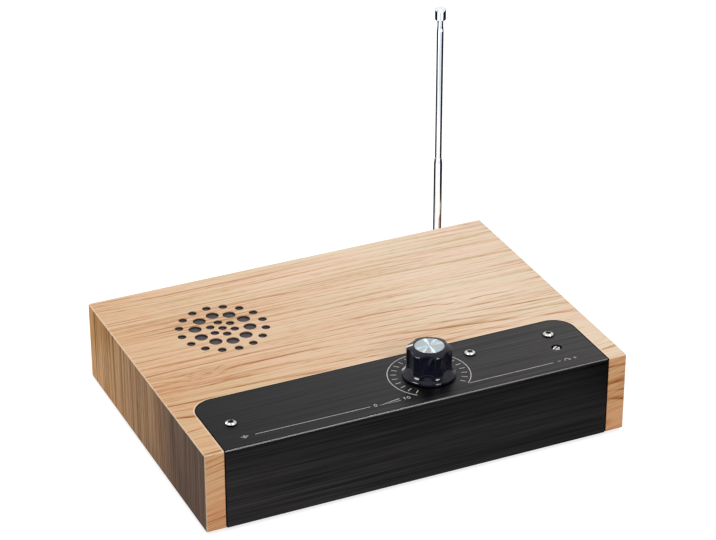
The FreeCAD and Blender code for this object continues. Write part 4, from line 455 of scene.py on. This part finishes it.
ray = add_node(ticks, "CombineXYZ", {0: sine, 1: cosine})
out = add_node(ticks, "VectorMath", {0: ray, "Scale": given["Middle radius"]}, operation="SCALE")
spot = add_node(ticks, "VectorMath", {0: out, 1: given["Centre"]}, operation="ADD")
spots = add_node(ticks, "GeometryNodePoints", {"Count": given["Count"], "Position": spot})
bar = add_node(ticks, "GeometryNodeMeshCube", {"Size": given["Bar"]})
facing = add_node(ticks, "Math", {0: math.pi / 2, 1: turn}, operation="SUBTRACT")
facing = add_node(ticks, "CombineXYZ", {2: facing})
placed = add_node(ticks, "GeometryNodeInstanceOnPoints", {"Points": spots, "Instance": bar,
                                                          "Rotation": facing})
solid = add_node(ticks, "GeometryNodeRealizeInstances", {0: placed})
inked = add_node(ticks, "GeometryNodeSetMaterial", {0: solid, "Material": given["Ink"]})
add_node(ticks, "NodeGroupOutput", {0: inked})


def grown(name, tree, body, **sizes):
    """The plain mesh that a tree of Geometry Nodes makes from its named sizes, riding on a body."""
    seed = put_in(name + ".seed", bpy.data.meshes.new(name + ".seed"))
    modifier = seed.modifiers.new("Nodes", "NODES")
    modifier.node_group = tree
    for item in tree.interface.items_tree:
        if item.in_out == "INPUT":
            modifier[item.identifier] = sizes[item.name.replace(" ", "_")]
    mesh = bpy.data.meshes.new_from_object(seed.evaluated_get(bpy.context.evaluated_depsgraph_get()))
    bpy.data.objects.remove(seed)
    mesh.name = name
    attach(put_in(name, mesh), body)


grown("dial_marks", ticks, "case", Count=21, First_angle=-135.0, Step_angle=13.5, Middle_radius=19.4 * MM,
      Bar=(3.2 * MM, BAR_WIDTH * MM, PRINT_THICK),
      Centre=(KNOB_AXIS.x, KNOB_AXIS.y, PRINT_FOOT + PRINT_THICK / 2), Ink=ink)


def nought(x, y, wide=0.75, high=1.1, sides=20):
    """The corners of a figure 0 round its middle."""
    return [(x + wide * math.cos(math.tau * k / sides), y + high * math.sin(math.tau * k / sides))
            for k in range(sides)]


# Plain symbols: earth at the ground screw, 0 and 10 with a rising wedge for the volume, and minus
# and plus with a turning arrow at the adjusting hole.
FOOT = LINE_Y - 0.9
MIDDLE = FOOT + 1.1
EARTH, NOUGHT, WEDGE, ONE, TEN, MINUS, ARROW, PLUS = -98.6, -23.4, -9.0, -6.2, -3.9, 87.6, 92.5, 97.4
printed("earth_sign", [[(EARTH, FOOT + 2.9), (EARTH, FOOT + 1.5)],
                       [(EARTH - 2.2, FOOT + 1.5), (EARTH + 2.2, FOOT + 1.5)],
                       [(EARTH - 1.4, FOOT + 0.75), (EARTH + 1.4, FOOT + 0.75)],
                       [(EARTH - 0.6, FOOT), (EARTH + 0.6, FOOT)]], LINE_WIDTH)
printed("dial_figures", [nought(NOUGHT, MIDDLE), nought(TEN, MIDDLE)], LINE_WIDTH, closed=True)
printed("dial_one", [[(ONE - 0.7, FOOT + 1.75), (ONE, FOOT + 2.2), (ONE, FOOT)]], LINE_WIDTH)
printed("dial_wedge", [[(WEDGE - 12.4, FOOT + 0.1), (WEDGE, FOOT + 0.1), (WEDGE, FOOT + 2.1)]], 0.3,
        closed=True)
printed("adjust_signs", [[(MINUS - 1, MIDDLE), (MINUS + 1, MIDDLE)],
                         [(PLUS - 1, MIDDLE), (PLUS + 1, MIDDLE)],
                         [(PLUS, MIDDLE - 1), (PLUS, MIDDLE + 1)]], LINE_WIDTH)
sweep = [(ARROW + 1.5 * math.cos(t), FOOT + 0.5 + 1.5 * math.sin(t))
         for t in [math.radians(190 - 200 * k / 16) for k in range(17)]]
printed("adjust_arrow", [sweep, [(ARROW + 0.7, FOOT + 0.9), (ARROW + 1.5, FOOT + 0.2),
                                 (ARROW + 2.3, FOOT + 0.9)]], LINE_WIDTH)

# ---------------- screws, nuts and washers
# Steel, turned and cold headed, then nickel plated: three pan heads hold the panel, one of them the
# ground terminal, and smaller ones hold the base, the clamps and the antenna mount. The plating is
# bright and faintly yellow, and mirrors its surroundings blurred.

wear(mottled("Steel, cold headed and nickel plated", "#DAD8D2", "#B9B6AF", 1.2, (0.14, 0.28), 0.01,
             Metallic=1.0), "ground_nut", "washers", "ring_lugs", "base_screws", "clamp_screws",
     "antenna_screw", "pot_washer", "pot_nut", "pot_terminals")

# Painted shade darkens the panel's screws in and round their recesses and under their heads, with
# a ragged edge, so that each shows as a bright ring.
steel_with_painted_shade, tree, shader, place = finish_named("Steel, nickel plated, with painted shade", Metallic=1.0)
height = add_node(tree, "SeparateXYZ", {0: place}).outputs["Z"]
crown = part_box("ground_screw")[1].z
ragged = add_node(tree, "Mapping", {"Vector": place, "Scale": (1000 / 1.4, 1000 / 1.4, 1000 / 1.4)})
ragged = add_node(tree, "TexNoise", {"Vector": ragged, "Scale": 1.0, "Detail": 3.0}).outputs["Fac"]
height = add_node(tree, "Math", {0: ragged, 1: 0.3 * MM, 2: height}, operation="MULTIPLY_ADD")
out_of_painted_shade = add_node(tree, "MapRange", {"Value": height, "From Min": crown - 1.0 * MM,
                                    "From Max": crown - 0.5 * MM}, **SMOOTH)
outward = add_node(tree, "Math", {0: ragged, 1: 2.2 * MM, 2: from_nearest_screw(tree, place)},
                   operation="MULTIPLY_ADD")
outward = add_node(tree, "MapRange", {"Value": outward, "From Min": 2.3 * MM, "From Max": 3.0 * MM}, **SMOOTH)
out_of_painted_shade = add_node(tree, "Math", {0: out_of_painted_shade, 1: outward}, operation="MULTIPLY")
ramp = add_node(tree, "ValToRGB", {0: out_of_painted_shade}, stops=[(0.0, "#2A292B"), (1.0, "#CFCDC8")])
dull = add_node(tree, "MapRange", {"Value": out_of_painted_shade, "To Min": 0.45, "To Max": 0.22})
join(shader, {"Base Color": ramp, "Roughness": dull})
wear(steel_with_painted_shade, "spacer_screws", "ground_screw")

# ---------------- volume knob
# A fluted skirt knob moulded in black phenolic, with a brass insert for the set screw and a spun
# aluminium disc glued into its top. A white line is filled into one lobe. The mould leaves a deep
# blue-black gloss, with small sharp highlights on the flare of the skirt.

phenolic = mottled("Phenolic, compression moulded black", "#0B0B16", "#06060C", 5.0, (0.08, 0.14), 0.004,
                   IOR=1.52, Specular_IOR_Level=0.25)

# In mm, with heights from the foot of the skirt. Six lobes flare out into the skirt, and the flutes
# between them end in flat facets.
KNOB_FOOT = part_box("knob_body")[0].z / MM
SKIRT_RADIUS = (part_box("knob_body")[1].x - KNOB_AXIS.x) / MM
LOBES = 6
LOBE_RADIUS = 12.5
FLARE_HEIGHT = 4.4
FLARE_REACH = 2.6
RIM_HEIGHT = 1.2
FLUTE_RADIUS = 9.0
FLUTE_FLOOR = 10.8
FACET_FOOT = 14.5
FACET_SLOPE = 1.0
TOP_HEIGHT = 17.6
TOP_RADIUS = 8.85
TOP_FALL = 0.43
SOFT_EDGE = 0.55
WALL_FOOT = 8.0
DISC_SEAT = 16.4
DISC_RADIUS = 8.25
HOLLOW_RADIUS = 8.5
HOLLOW_HEIGHT = 4.4
BORE_RADIUS = 5.0
BORE_HEIGHT = 15.4
TURNS = 180
DRILL_TURN = math.radians(60.0)
DRILL_HEIGHT = 10.0
DRILL_RADIUS = 1.55
DRILL_LENGTH = 8.5
DRILL_MIDDLE = 8.4
INDEX_TURN = math.radians(150.0)
INDEX_WIDTH = 1.8
INDEX_LIFT = 0.04


def lesser(one, other, soft):
    """The lesser of two lengths, with the corner where they cross rounded off."""
    return -soft * math.log(math.exp(-one / soft) + math.exp(-other / soft))


def knob_side(turn, height):
    """The radius of the knob's side at a turn, where the flutes are at 0, 60, 120 ... degrees."""
    pitch = math.tau / LOBES
    aside = (turn + pitch / 2) % pitch - pitch / 2
    flare = max(FLARE_HEIGHT - height, 0) / (FLARE_HEIGHT - RIM_HEIGHT)
    lobe = lesser(LOBE_RADIUS + FLARE_REACH * flare ** 1.8, SKIRT_RADIUS, 0.1)
    centre = FLUTE_FLOOR + FLUTE_RADIUS
    chord = FLUTE_RADIUS ** 2 - (centre * math.sin(aside)) ** 2
    flute = centre * math.cos(aside) - math.sqrt(chord) if chord > 0 else 2 * SKIRT_RADIUS
    facet = (FACET_FOOT - (height - RIM_HEIGHT) * FACET_SLOPE) / math.cos(aside)
    return lesser(lobe, -lesser(-flute, -facet, 0.15), 0.2)


def knob_outline(turn):
    """Radius and height from the seat of the disc, over the top and side, to the bore underneath."""
    side = knob_side(turn, TOP_HEIGHT - 2)
    crest = TOP_HEIGHT - (side - TOP_RADIUS) * TOP_FALL
    inner, corner = Vector((side - SOFT_EDGE, crest + SOFT_EDGE * TOP_FALL)), Vector((side, crest))
    outer = Vector((side, crest - SOFT_EDGE))
    edge = [inner.lerp(corner, t).lerp(corner.lerp(outer, t), t) for t in (0, 0.2, 0.4, 0.6, 0.8, 1)]
    wall = [crest - SOFT_EDGE + (WALL_FOOT - crest + SOFT_EDGE) * k / 4 for k in range(1, 5)]
    flare = [1.25 + 6.0 * (k / 13) ** 1.4 for k in range(13, -1, -1)]
    seat = [(0, DISC_SEAT), (DISC_RADIUS, DISC_SEAT), (DISC_RADIUS, TOP_HEIGHT - 0.05),
            (DISC_RADIUS + 0.05, TOP_HEIGHT), (TOP_RADIUS - 0.1, TOP_HEIGHT),
            (TOP_RADIUS + 0.1, TOP_HEIGHT - 0.05)]
    under = [(SKIRT_RADIUS - 0.06, RIM_HEIGHT - 0.02), (SKIRT_RADIUS, RIM_HEIGHT - 0.15),
             (SKIRT_RADIUS, 0.2), (SKIRT_RADIUS - 0.2, 0), (HOLLOW_RADIUS, 0), (HOLLOW_RADIUS, HOLLOW_HEIGHT),
             (BORE_RADIUS, HOLLOW_HEIGHT), (BORE_RADIUS, BORE_HEIGHT), (0, BORE_HEIGHT)]
    return seat + edge + [(knob_side(turn, h), h) for h in wall + flare] + under


# The blank is skinned through its outlines all round the axis.
shape = bmesh.new()
rows = []
for number in range(TURNS):
    turn = math.tau * number / TURNS
    across, back = math.cos(turn) * MM, math.sin(turn) * MM
    rows.append([shape.verts.new((KNOB_AXIS.x + r * across, KNOB_AXIS.y + r * back, (KNOB_FOOT + h) * MM))
                 for r, h in knob_outline(turn)])
for row, after in zip(rows, rows[1:] + rows[:1]):
    for k in range(len(row) - 1):
        shape.faces.new((row[k], row[k + 1], after[k + 1], after[k]))
bmesh.ops.remove_doubles(shape, verts=shape.verts, dist=0.001 * MM)
bmesh.ops.recalc_face_normals(shape, faces=shape.faces)
blank = piece_from("knob_blank", shape)
# The hole of the set screw is drilled through one flute, at the back right.
shape = bmesh.new()
bmesh.ops.create_cone(shape, cap_ends=True, segments=32, radius1=DRILL_RADIUS * MM,
                      radius2=DRILL_RADIUS * MM, depth=DRILL_LENGTH * MM)
drill = piece_from("knob_drill", shape)
out = Vector((math.cos(DRILL_TURN), math.sin(DRILL_TURN), 0))
lifted = Vector((0, 0, (KNOB_FOOT + DRILL_HEIGHT) * MM))
drill.location = KNOB_AXIS.xy.to_3d() + out * DRILL_MIDDLE * MM + lifted
drill.rotation_euler = out.to_track_quat("Z", "Y").to_euler()
cut = blank.modifiers.new("Set screw hole", "BOOLEAN")
cut.operation = "DIFFERENCE"
cut.solver = "EXACT"
cut.object = drill
mesh = bpy.data.meshes.new_from_object(blank.evaluated_get(bpy.context.evaluated_depsgraph_get()))
for made in (blank, drill):
    bpy.data.objects.remove(made)
mesh.name = "knob_moulding"
mesh.shade_smooth()
mesh.set_sharp_from_angle(angle=math.radians(40))
mesh.materials.clear()
mesh.materials.append(phenolic)
moulding = put_in("knob_moulding", mesh)
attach(moulding, "volume_knob")
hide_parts("knob_body")

# The white line follows that lobe from the skirt's rim to the rim of the disc.
lobe = [(knob_side(INDEX_TURN, h), h) for h in (1.3, 1.7, 2.2, 2.8, 3.6, 5.0)]
lobe += knob_outline(INDEX_TURN)[11:5:-1] + [(TOP_RADIUS + 0.1, TOP_HEIGHT - 0.05)]
outline = []
for number, (radius, height) in enumerate(lobe):
    before, after = lobe[max(number - 1, 0)], lobe[min(number + 1, len(lobe) - 1)]
    ahead = Vector((after[0] - before[0], after[1] - before[1])).normalized()
    outline.append((radius, height, ahead.y, -ahead.x))
shape = bmesh.new()
radial = Vector((math.cos(INDEX_TURN), math.sin(INDEX_TURN), 0))
sideways = Vector((-radial.y, radial.x, 0))
rims = []
for radius, height, out_r, out_z in outline:
    rim = []
    for s, lift in ((-1, -0.1), (1, -0.1), (1, INDEX_LIFT), (-1, INDEX_LIFT)):
        reach = math.sqrt((radius + out_r * lift) ** 2 - (INDEX_WIDTH / 2) ** 2)
        at = radial * reach + sideways * s * INDEX_WIDTH / 2
        at = at + Vector((0, 0, height + out_z * lift + KNOB_FOOT))
        rim.append(shape.verts.new(at * MM + Vector((KNOB_AXIS.x, KNOB_AXIS.y, 0))))
    rims.append(rim)
skin_bar(shape, rims)
bmesh.ops.recalc_face_normals(shape, faces=shape.faces)
index_line = piece_from("knob_index", shape)
# Filler paint, wiped in: bright white, slightly rough.
index_line.data.materials.append(mottled("Filler paint, wiped white", "#F2F2F0", "#DCDCDA", 0.8, (0.35, 0.5)))
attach(index_line, "volume_knob")

# Aluminium, spun: fine rings round the middle draw each lamp out into a bright bar across the disc.
spun, tree, shader, place = finish_named("Aluminium, spun", Metallic=1.0, Anisotropic=1.0,
                                         Anisotropic_Rotation=0.25)
radius = away_from(tree, place, KNOB_AXIS.xy)
# Tool marks are near 0.05 mm; they are drawn 0.25 mm apart.
rings = add_node(tree, "TexNoise", {"W": radius, "Scale": 1000 / 0.25, "Detail": 2.0}, noise_dimensions="1D")
ramp = add_node(tree, "ValToRGB", {0: rings}, stops=[(0.3, "#BDC8CC"), (0.7, "#D8E2E6")])
dull = add_node(tree, "MapRange", {"Value": rings, "From Min": 0.3, "From Max": 0.7, "To Min": 0.40,
                                   "To Max": 0.50})
around_axis = add_node(tree, "Tangent", direction_type="RADIAL", axis="Z")
join(shader, {"Base Color": ramp, "Roughness": dull, "Tangent": around_axis})
wear(spun, "knob_cap")

# Brass, turned: warm yellow with tool rings.
wear(mottled("Brass, turned", "#D9B56A", "#B88F48", 1.0, (0.22, 0.36), 0.01, (8, 8, 0.3), Metallic=1.0),
     "knob_insert", "pot_bushing", "spacers")

# ---------------- potentiometer
# A rotary carbon potentiometer with a switch behind it, hung from the panel by its bushing: zinc
# plated can crimped over a moulded switch housing, with a steel shaft up into the knob. Zinc looks
# pale grey and half matt, and the housing a dull black that glass fibre has greyed.

zinc = mottled("Steel, pressed and zinc plated", "#C4C6C4", "#9DA09F", 3.0, (0.30, 0.48), 0.01, Metallic=1.0)
wear(zinc, "pot_body", "pot_shaft", "knob_set_screw")
wear(mottled("Glass-filled nylon, moulded black", "#2A2A2C", "#1B1B1D", 0.9, (0.45, 0.6), 0.015),
     "switch_housing", "chips", "trimmer_base", "battery_snap")

# ---------------- circuit board
# Glass-epoxy laminate with green mask, cut to size and hung on two brass spacers; coil cans, chips,
# capacitors and resistors are soldered to it, and a trimmer whose slotted stem meets the panel. The
# mask shines a mottled green, tinned cans are soft silver, and dipped parts gleam like toffee.

wear(mottled("Glass-epoxy laminate, masked green", "#2F6B45", "#23553A", 2.2, (0.3, 0.42), 0.01),
     "circuit_board")
wear(mottled("Brass cans, drawn and tinned", "#CFCFCB", "#A8A9A6", 1.5, (0.22, 0.4), 0.01, Metallic=1.0),
     "oscillator_coils")
wear(mottled("Epoxy, dipped and cured", "#B98A4B", "#8C6332", 3.0, (0.3, 0.45), 0.02), "board_components")
wear(mottled("Brass, turned and nickel plated", "#D8D7D2", "#AFAEA8", 0.7, (0.18, 0.32), 0.01,
             Metallic=1.0), "trimmer_rotor")

# ---------------- loudspeaker
# A 66 mm loudspeaker under the grille: pressed basket, ferrite ring between steel plates, paper
# cone and spider, rubber surround, card gasket, and a woven cloth that keeps dust out. All but the
# basket are matt: charcoal ferrite, felty black paper, tan resined cotton and grey card.

wear(zinc, "speaker_basket", "speaker_clamps", "speaker_yoke")
wear(mottled("Ferrite, pressed and sintered", "#3A3A3C", "#29292B", 1.0, (0.55, 0.7), 0.02), "speaker_magnet")
wear(mottled("Paper pulp, felted black", "#3A3634", "#262321", 0.7, (0.8, 0.9), 0.03), "speaker_cone")
wear(mottled("Cotton, dipped in resin", "#A98C55", "#86693A", 0.5, (0.7, 0.85), 0.03), "speaker_spider")
wear(mottled("Rubber, moulded thin", "#1E1E20", "#141415", 1.2, (0.55, 0.7), 0.01), "speaker_surround")
wear(mottled("Grey card, punched", "#8C8478", "#6E675D", 0.8, (0.85, 0.93), 0.03), "speaker_gasket")
wear(mottled("Paper laminate, punched", "#8A5A2E", "#6B421F", 0.8, (0.5, 0.6)), "speaker_terminals")

# Polyester grille cloth, plain weave: dark, with a grey-violet cast. Threads are near 0.3 mm apart;
# they are drawn at 0.7 mm so that the weave shows through the holes.
THREAD = 0.7 * MM
woven, tree, shader, place = finish_named("Polyester grille cloth, plain woven", Roughness=0.8,
                                          Sheen_Weight=0.3, Sheen_Roughness=0.5)
axes = add_node(tree, "SeparateXYZ", {0: place}).outputs
threads = []
for letter in "XY":
    swing = add_node(tree, "Math", {0: axes[letter], 1: math.pi / THREAD}, operation="MULTIPLY")
    threads.append(add_node(tree, "Math", {0: swing}, operation="SINE"))
weave = add_node(tree, "Math", {0: threads[0], 1: threads[1]}, operation="MULTIPLY")
lift = add_node(tree, "Math", {0: weave, 1: 0.5, 2: 0.5}, operation="MULTIPLY_ADD")
ramp = add_node(tree, "ValToRGB", {0: lift}, stops=[(0.1, "#262229"), (0.9, "#4D4751")])
bump = add_node(tree, "Bump", {"Height": lift, "Distance": 0.08 * MM})
join(shader, {"Base Color": ramp, "Normal": bump})
wear(woven, "grille_cloth")

# ---------------- battery
# A 9 V block with a painted steel jacket, its moulded snap, and a spring clip bent from steel strip
# and riveted to the base. The enamel is an even satin blue-grey, the blued clip darker and patchy.

wear(mottled("Steel jacket, enamelled blue-grey", "#5E6C78", "#4B5862", 6.0, (0.25, 0.35), 0.004), "battery")
wear(mottled("Spring steel, bent and blued", "#6A6E76", "#4A4D55", 4.0, (0.28, 0.42), 0.01, Metallic=1.0),
     "battery_clip")

# ---------------- telescopic antenna
# Brass tubes drawn thin, polished and chrome plated, sliding one in the other above a folding
# elbow on a mount behind the case. Drawing leaves faint lines along each tube, which carry the cold
# white and black reflections up its length.

chrome, tree, shader, place = finish_named("Brass tube, drawn and chrome plated", Metallic=1.0)
# The draw lines are near 0.05 mm; they are drawn 0.3 mm wide.
spread = add_node(tree, "Mapping", {"Vector": place, "Scale": (1000 / 0.3, 1000 / 0.3, 1000 / 40)})
drawn = add_node(tree, "TexNoise", {"Vector": spread, "Scale": 1.0, "Detail": 2.0})
ramp = add_node(tree, "ValToRGB", {0: drawn}, stops=[(0.3, "#E4EBF1"), (0.7, "#F6FAFC")])
dull = add_node(tree, "MapRange", {"Value": drawn, "From Min": 0.3, "From Max": 0.7, "To Min": 0.05,
                                   "To Max": 0.13})
join(shader, {"Base Color": ramp, "Roughness": dull})
UPRIGHT = ("antenna_knuckle", "antenna_tube_1", "antenna_tube_2", "antenna_tube_3", "antenna_rod",
           "antenna_tip")
wear(chrome, "antenna_mount", "antenna_fork", "elbow_pin", *UPRIGHT)

# ---------------- inner leads
# Stranded copper in extruded PVC, run along the walls from the battery, loudspeaker, ground screw
# and antenna to the board. The dull red sheath has a waxy sheen.

wear(mottled("PVC lead, extruded", "#9B2C2A", "#7E1F20", 14.0, (0.35, 0.5)), "supply_leads", "signal_leads")

# ---------------- studio
# A plain pale floor with soft light from all round, two soft lamps above and a camera at the
# place of a person who looks down on the front left of the case.


def emptied(made):
    """The bare node tree of a new material or world."""
    made.use_nodes = True
    made.node_tree.nodes.clear()
    return made.node_tree


def seen_straight(tree):
    """1 for what the camera, a mirror or glass sees, and 0 for the light that falls on things."""
    rays = add_node(tree, "LightPath").outputs
    seen = add_node(tree, "Math", {0: rays["Is Camera Ray"], 1: rays["Is Glossy Ray"]}, operation="ADD")
    return add_node(tree, "Math", {0: seen, 1: rays["Is Transmission Ray"]}, operation="ADD", use_clamp=True)


shape = bmesh.new()
bmesh.ops.create_grid(shape, x_segments=1, y_segments=1, size=8.0)
floor = piece_from("floor", shape)
paper = bpy.data.materials.new("Backdrop paper, matt pale grey")
tree = emptied(paper)
bright = add_node(tree, "Math", {0: seen_straight(tree), 1: 0.72}, operation="MULTIPLY")
glow = add_node(tree, "Emission", {"Color": linear("#FFFFFF"), "Strength": bright})
matt = add_node(tree, "BsdfDiffuse", {"Color": linear("#BEBEBE")})
both = add_node(tree, "AddShader", {0: matt, 1: glow})
add_node(tree, "OutputMaterial", {0: both})
floor.data.materials.append(paper)

# The sky is a soft box overhead that fades to the horizon. What is seen straight or in gloss is white.
world = bpy.data.worlds.new("Studio")
bpy.context.scene.world = world
tree = emptied(world)
way = add_node(tree, "SeparateXYZ", {0: add_node(tree, "TexCoord").outputs["Generated"]})
soft = add_node(tree, "MapRange", {"Value": way.outputs["Z"], "To Min": 0.20, "To Max": 0.72})
level = add_node(tree, "MapRange", {"Value": seen_straight(tree), "To Min": soft, "To Max": 1.0})
sky = add_node(tree, "Background", {"Color": linear("#FFFFFF"), "Strength": level})
add_node(tree, "OutputWorld", {0: sky})

CAMERA_PLACE = (-0.5305, -1.16545, 0.7768)
CAMERA_YAW = math.radians(24.727)
CAMERA_PITCH = math.radians(28.437)


def toward(turn, height):
    """The way to what is at a turn from the line of sight and a height over the horizon."""
    way, up = math.radians(90 - turn) - CAMERA_YAW, math.radians(height)
    return Vector((math.cos(way) * math.cos(up), math.sin(way) * math.cos(up), math.sin(up)))


def hang_lamp(name, power, place, facing, seen_by=(), **settings):
    """An area lamp that faces a way. Where objects are given, they alone see it."""
    lamp = bpy.data.lights.new(name, "AREA")
    lamp.energy = power
    for setting, value in settings.items():
        setattr(lamp, setting, value)
    made = put_in(name, lamp)
    made.location = place
    made.rotation_euler = facing.to_track_quat("-Z", "Y").to_euler()
    if seen_by:
        made.light_linking.receiver_collection = bpy.data.collections.new(name)
        for part in seen_by:
            made.light_linking.receiver_collection.objects.link(part)
    return made


# Each lamp: its name, its turn from the camera's line of sight, its height above the horizon, its
# distance in metres, its size and its power. The two glints are lamps that only the knob's
# moulding sees, each a crescent on the flare of its skirt, and the edge lamp passes it by.
for name, turn, height, distance, size, power in (
        ("lamp_right", 90.0, 69.0, 1.6, 0.10, 3.6), ("lamp_left", -90.0, 69.0, 1.6, 0.10, 3.4),
        ("lamp_front", 150.0, 30.0, 1.6, 0.60, 6.5), ("lamp_edge", -62.0, 28.0, 0.75, 0.25, 1.1),
        ("glint_left", -124.0, 30.0, 1.4, 0.70, 28.0), ("glint_right", 143.0, 30.0, 1.4, 0.60, 18.0)):
    place = toward(turn, height) * distance
    linked = [moulding] if name in ("lamp_edge", "glint_left", "glint_right") else []
    made = hang_lamp(name, power, place, -place, linked, shape="DISK", size=size)
    if name == "lamp_edge":
        made.light_linking.receiver_collection.collection_objects[0].light_linking.link_state = "EXCLUDE"

# A strip lamp stands by the antenna and only the antenna sees it: it draws a white line up the middle
# of each tube.
STRIP_GAP = 8 * MM
STRIP_MIDDLE = 0.105
out = toward(-179.0, 0)
elbow = sum(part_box("elbow_pin"), Vector()) / 2
hang_lamp("lamp_strip", 0.010, elbow + out * STRIP_GAP + Vector((0, 0, STRIP_MIDDLE)), -out,
          [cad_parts[part] for part in UPRIGHT], shape="RECTANGLE", size=0.018, size_y=0.19,
          color=linear("#EEF3FF")[:3])

# Dark cards lie on the floor round the case, and dark cloth hangs round the back of the camera. They
# glow at set dark levels and are not lit; only gloss sees them. They keep the knob black and give the
# antenna's tubes their dark edges.
CARD_LIFT = 1.5 * MM
CLOTH_AWAY = 4.0
shape = bmesh.new()
for tint, left, near, right, far in ((0, -0.25, -0.36, 0.20, -0.16), (1, -2.0, 0.112, 2.5, 3.0),
                                     (1, 0.14, -0.30, 2.5, 0.112)):
    corners = ((left, near), (right, near), (right, far), (left, far))
    shape.faces.new([shape.verts.new((*corner, CARD_LIFT)) for corner in corners]).material_index = tint
card = piece_from("dark_card", shape)
shape = bmesh.new()
hung = []
for turn in range(115, 246, 10):
    hung.append([shape.verts.new(toward(turn, height) * CLOTH_AWAY) for height in (4, 17, 30, 43, 56)])
for near, far in zip(hung, hung[1:]):
    for k in range(4):
        shape.faces.new((near[k], near[k + 1], far[k + 1], far[k]))
cloth = piece_from("dark_cloth", shape)
for made, name, colour in ((card, "Card, glowing dark grey", "#4A4B52"), (card, "Card, black", "#171A22"),
                           (cloth, "Black cloth, hung", "#1C1D26")):
    glowing_finish = bpy.data.materials.new(name)
    tree = emptied(glowing_finish)
    glow = add_node(tree, "Emission", {"Color": linear(colour), "Strength": 1.0})
    add_node(tree, "OutputMaterial", {0: glow})
    made.data.materials.append(glowing_finish)
for made in (card, cloth):
    for rays in ("camera", "diffuse", "shadow", "transmission"):
        setattr(made, "visible_" + rays, False)

PICTURE_WIDTH_PX = 716
FOCAL_LENGTH_PX = 2621.4
view = bpy.data.cameras.new("camera")
view.sensor_width = 36.0
view.lens = FOCAL_LENGTH_PX / PICTURE_WIDTH_PX * view.sensor_width
view.clip_end = 50.0
camera = put_in("camera", view)
camera.location = CAMERA_PLACE
camera.rotation_euler = Euler((math.pi / 2 - CAMERA_PITCH, 0, -CAMERA_YAW))
bpy.context.scene.camera = camera
bpy.context.scene.view_settings.view_transform = "Standard"
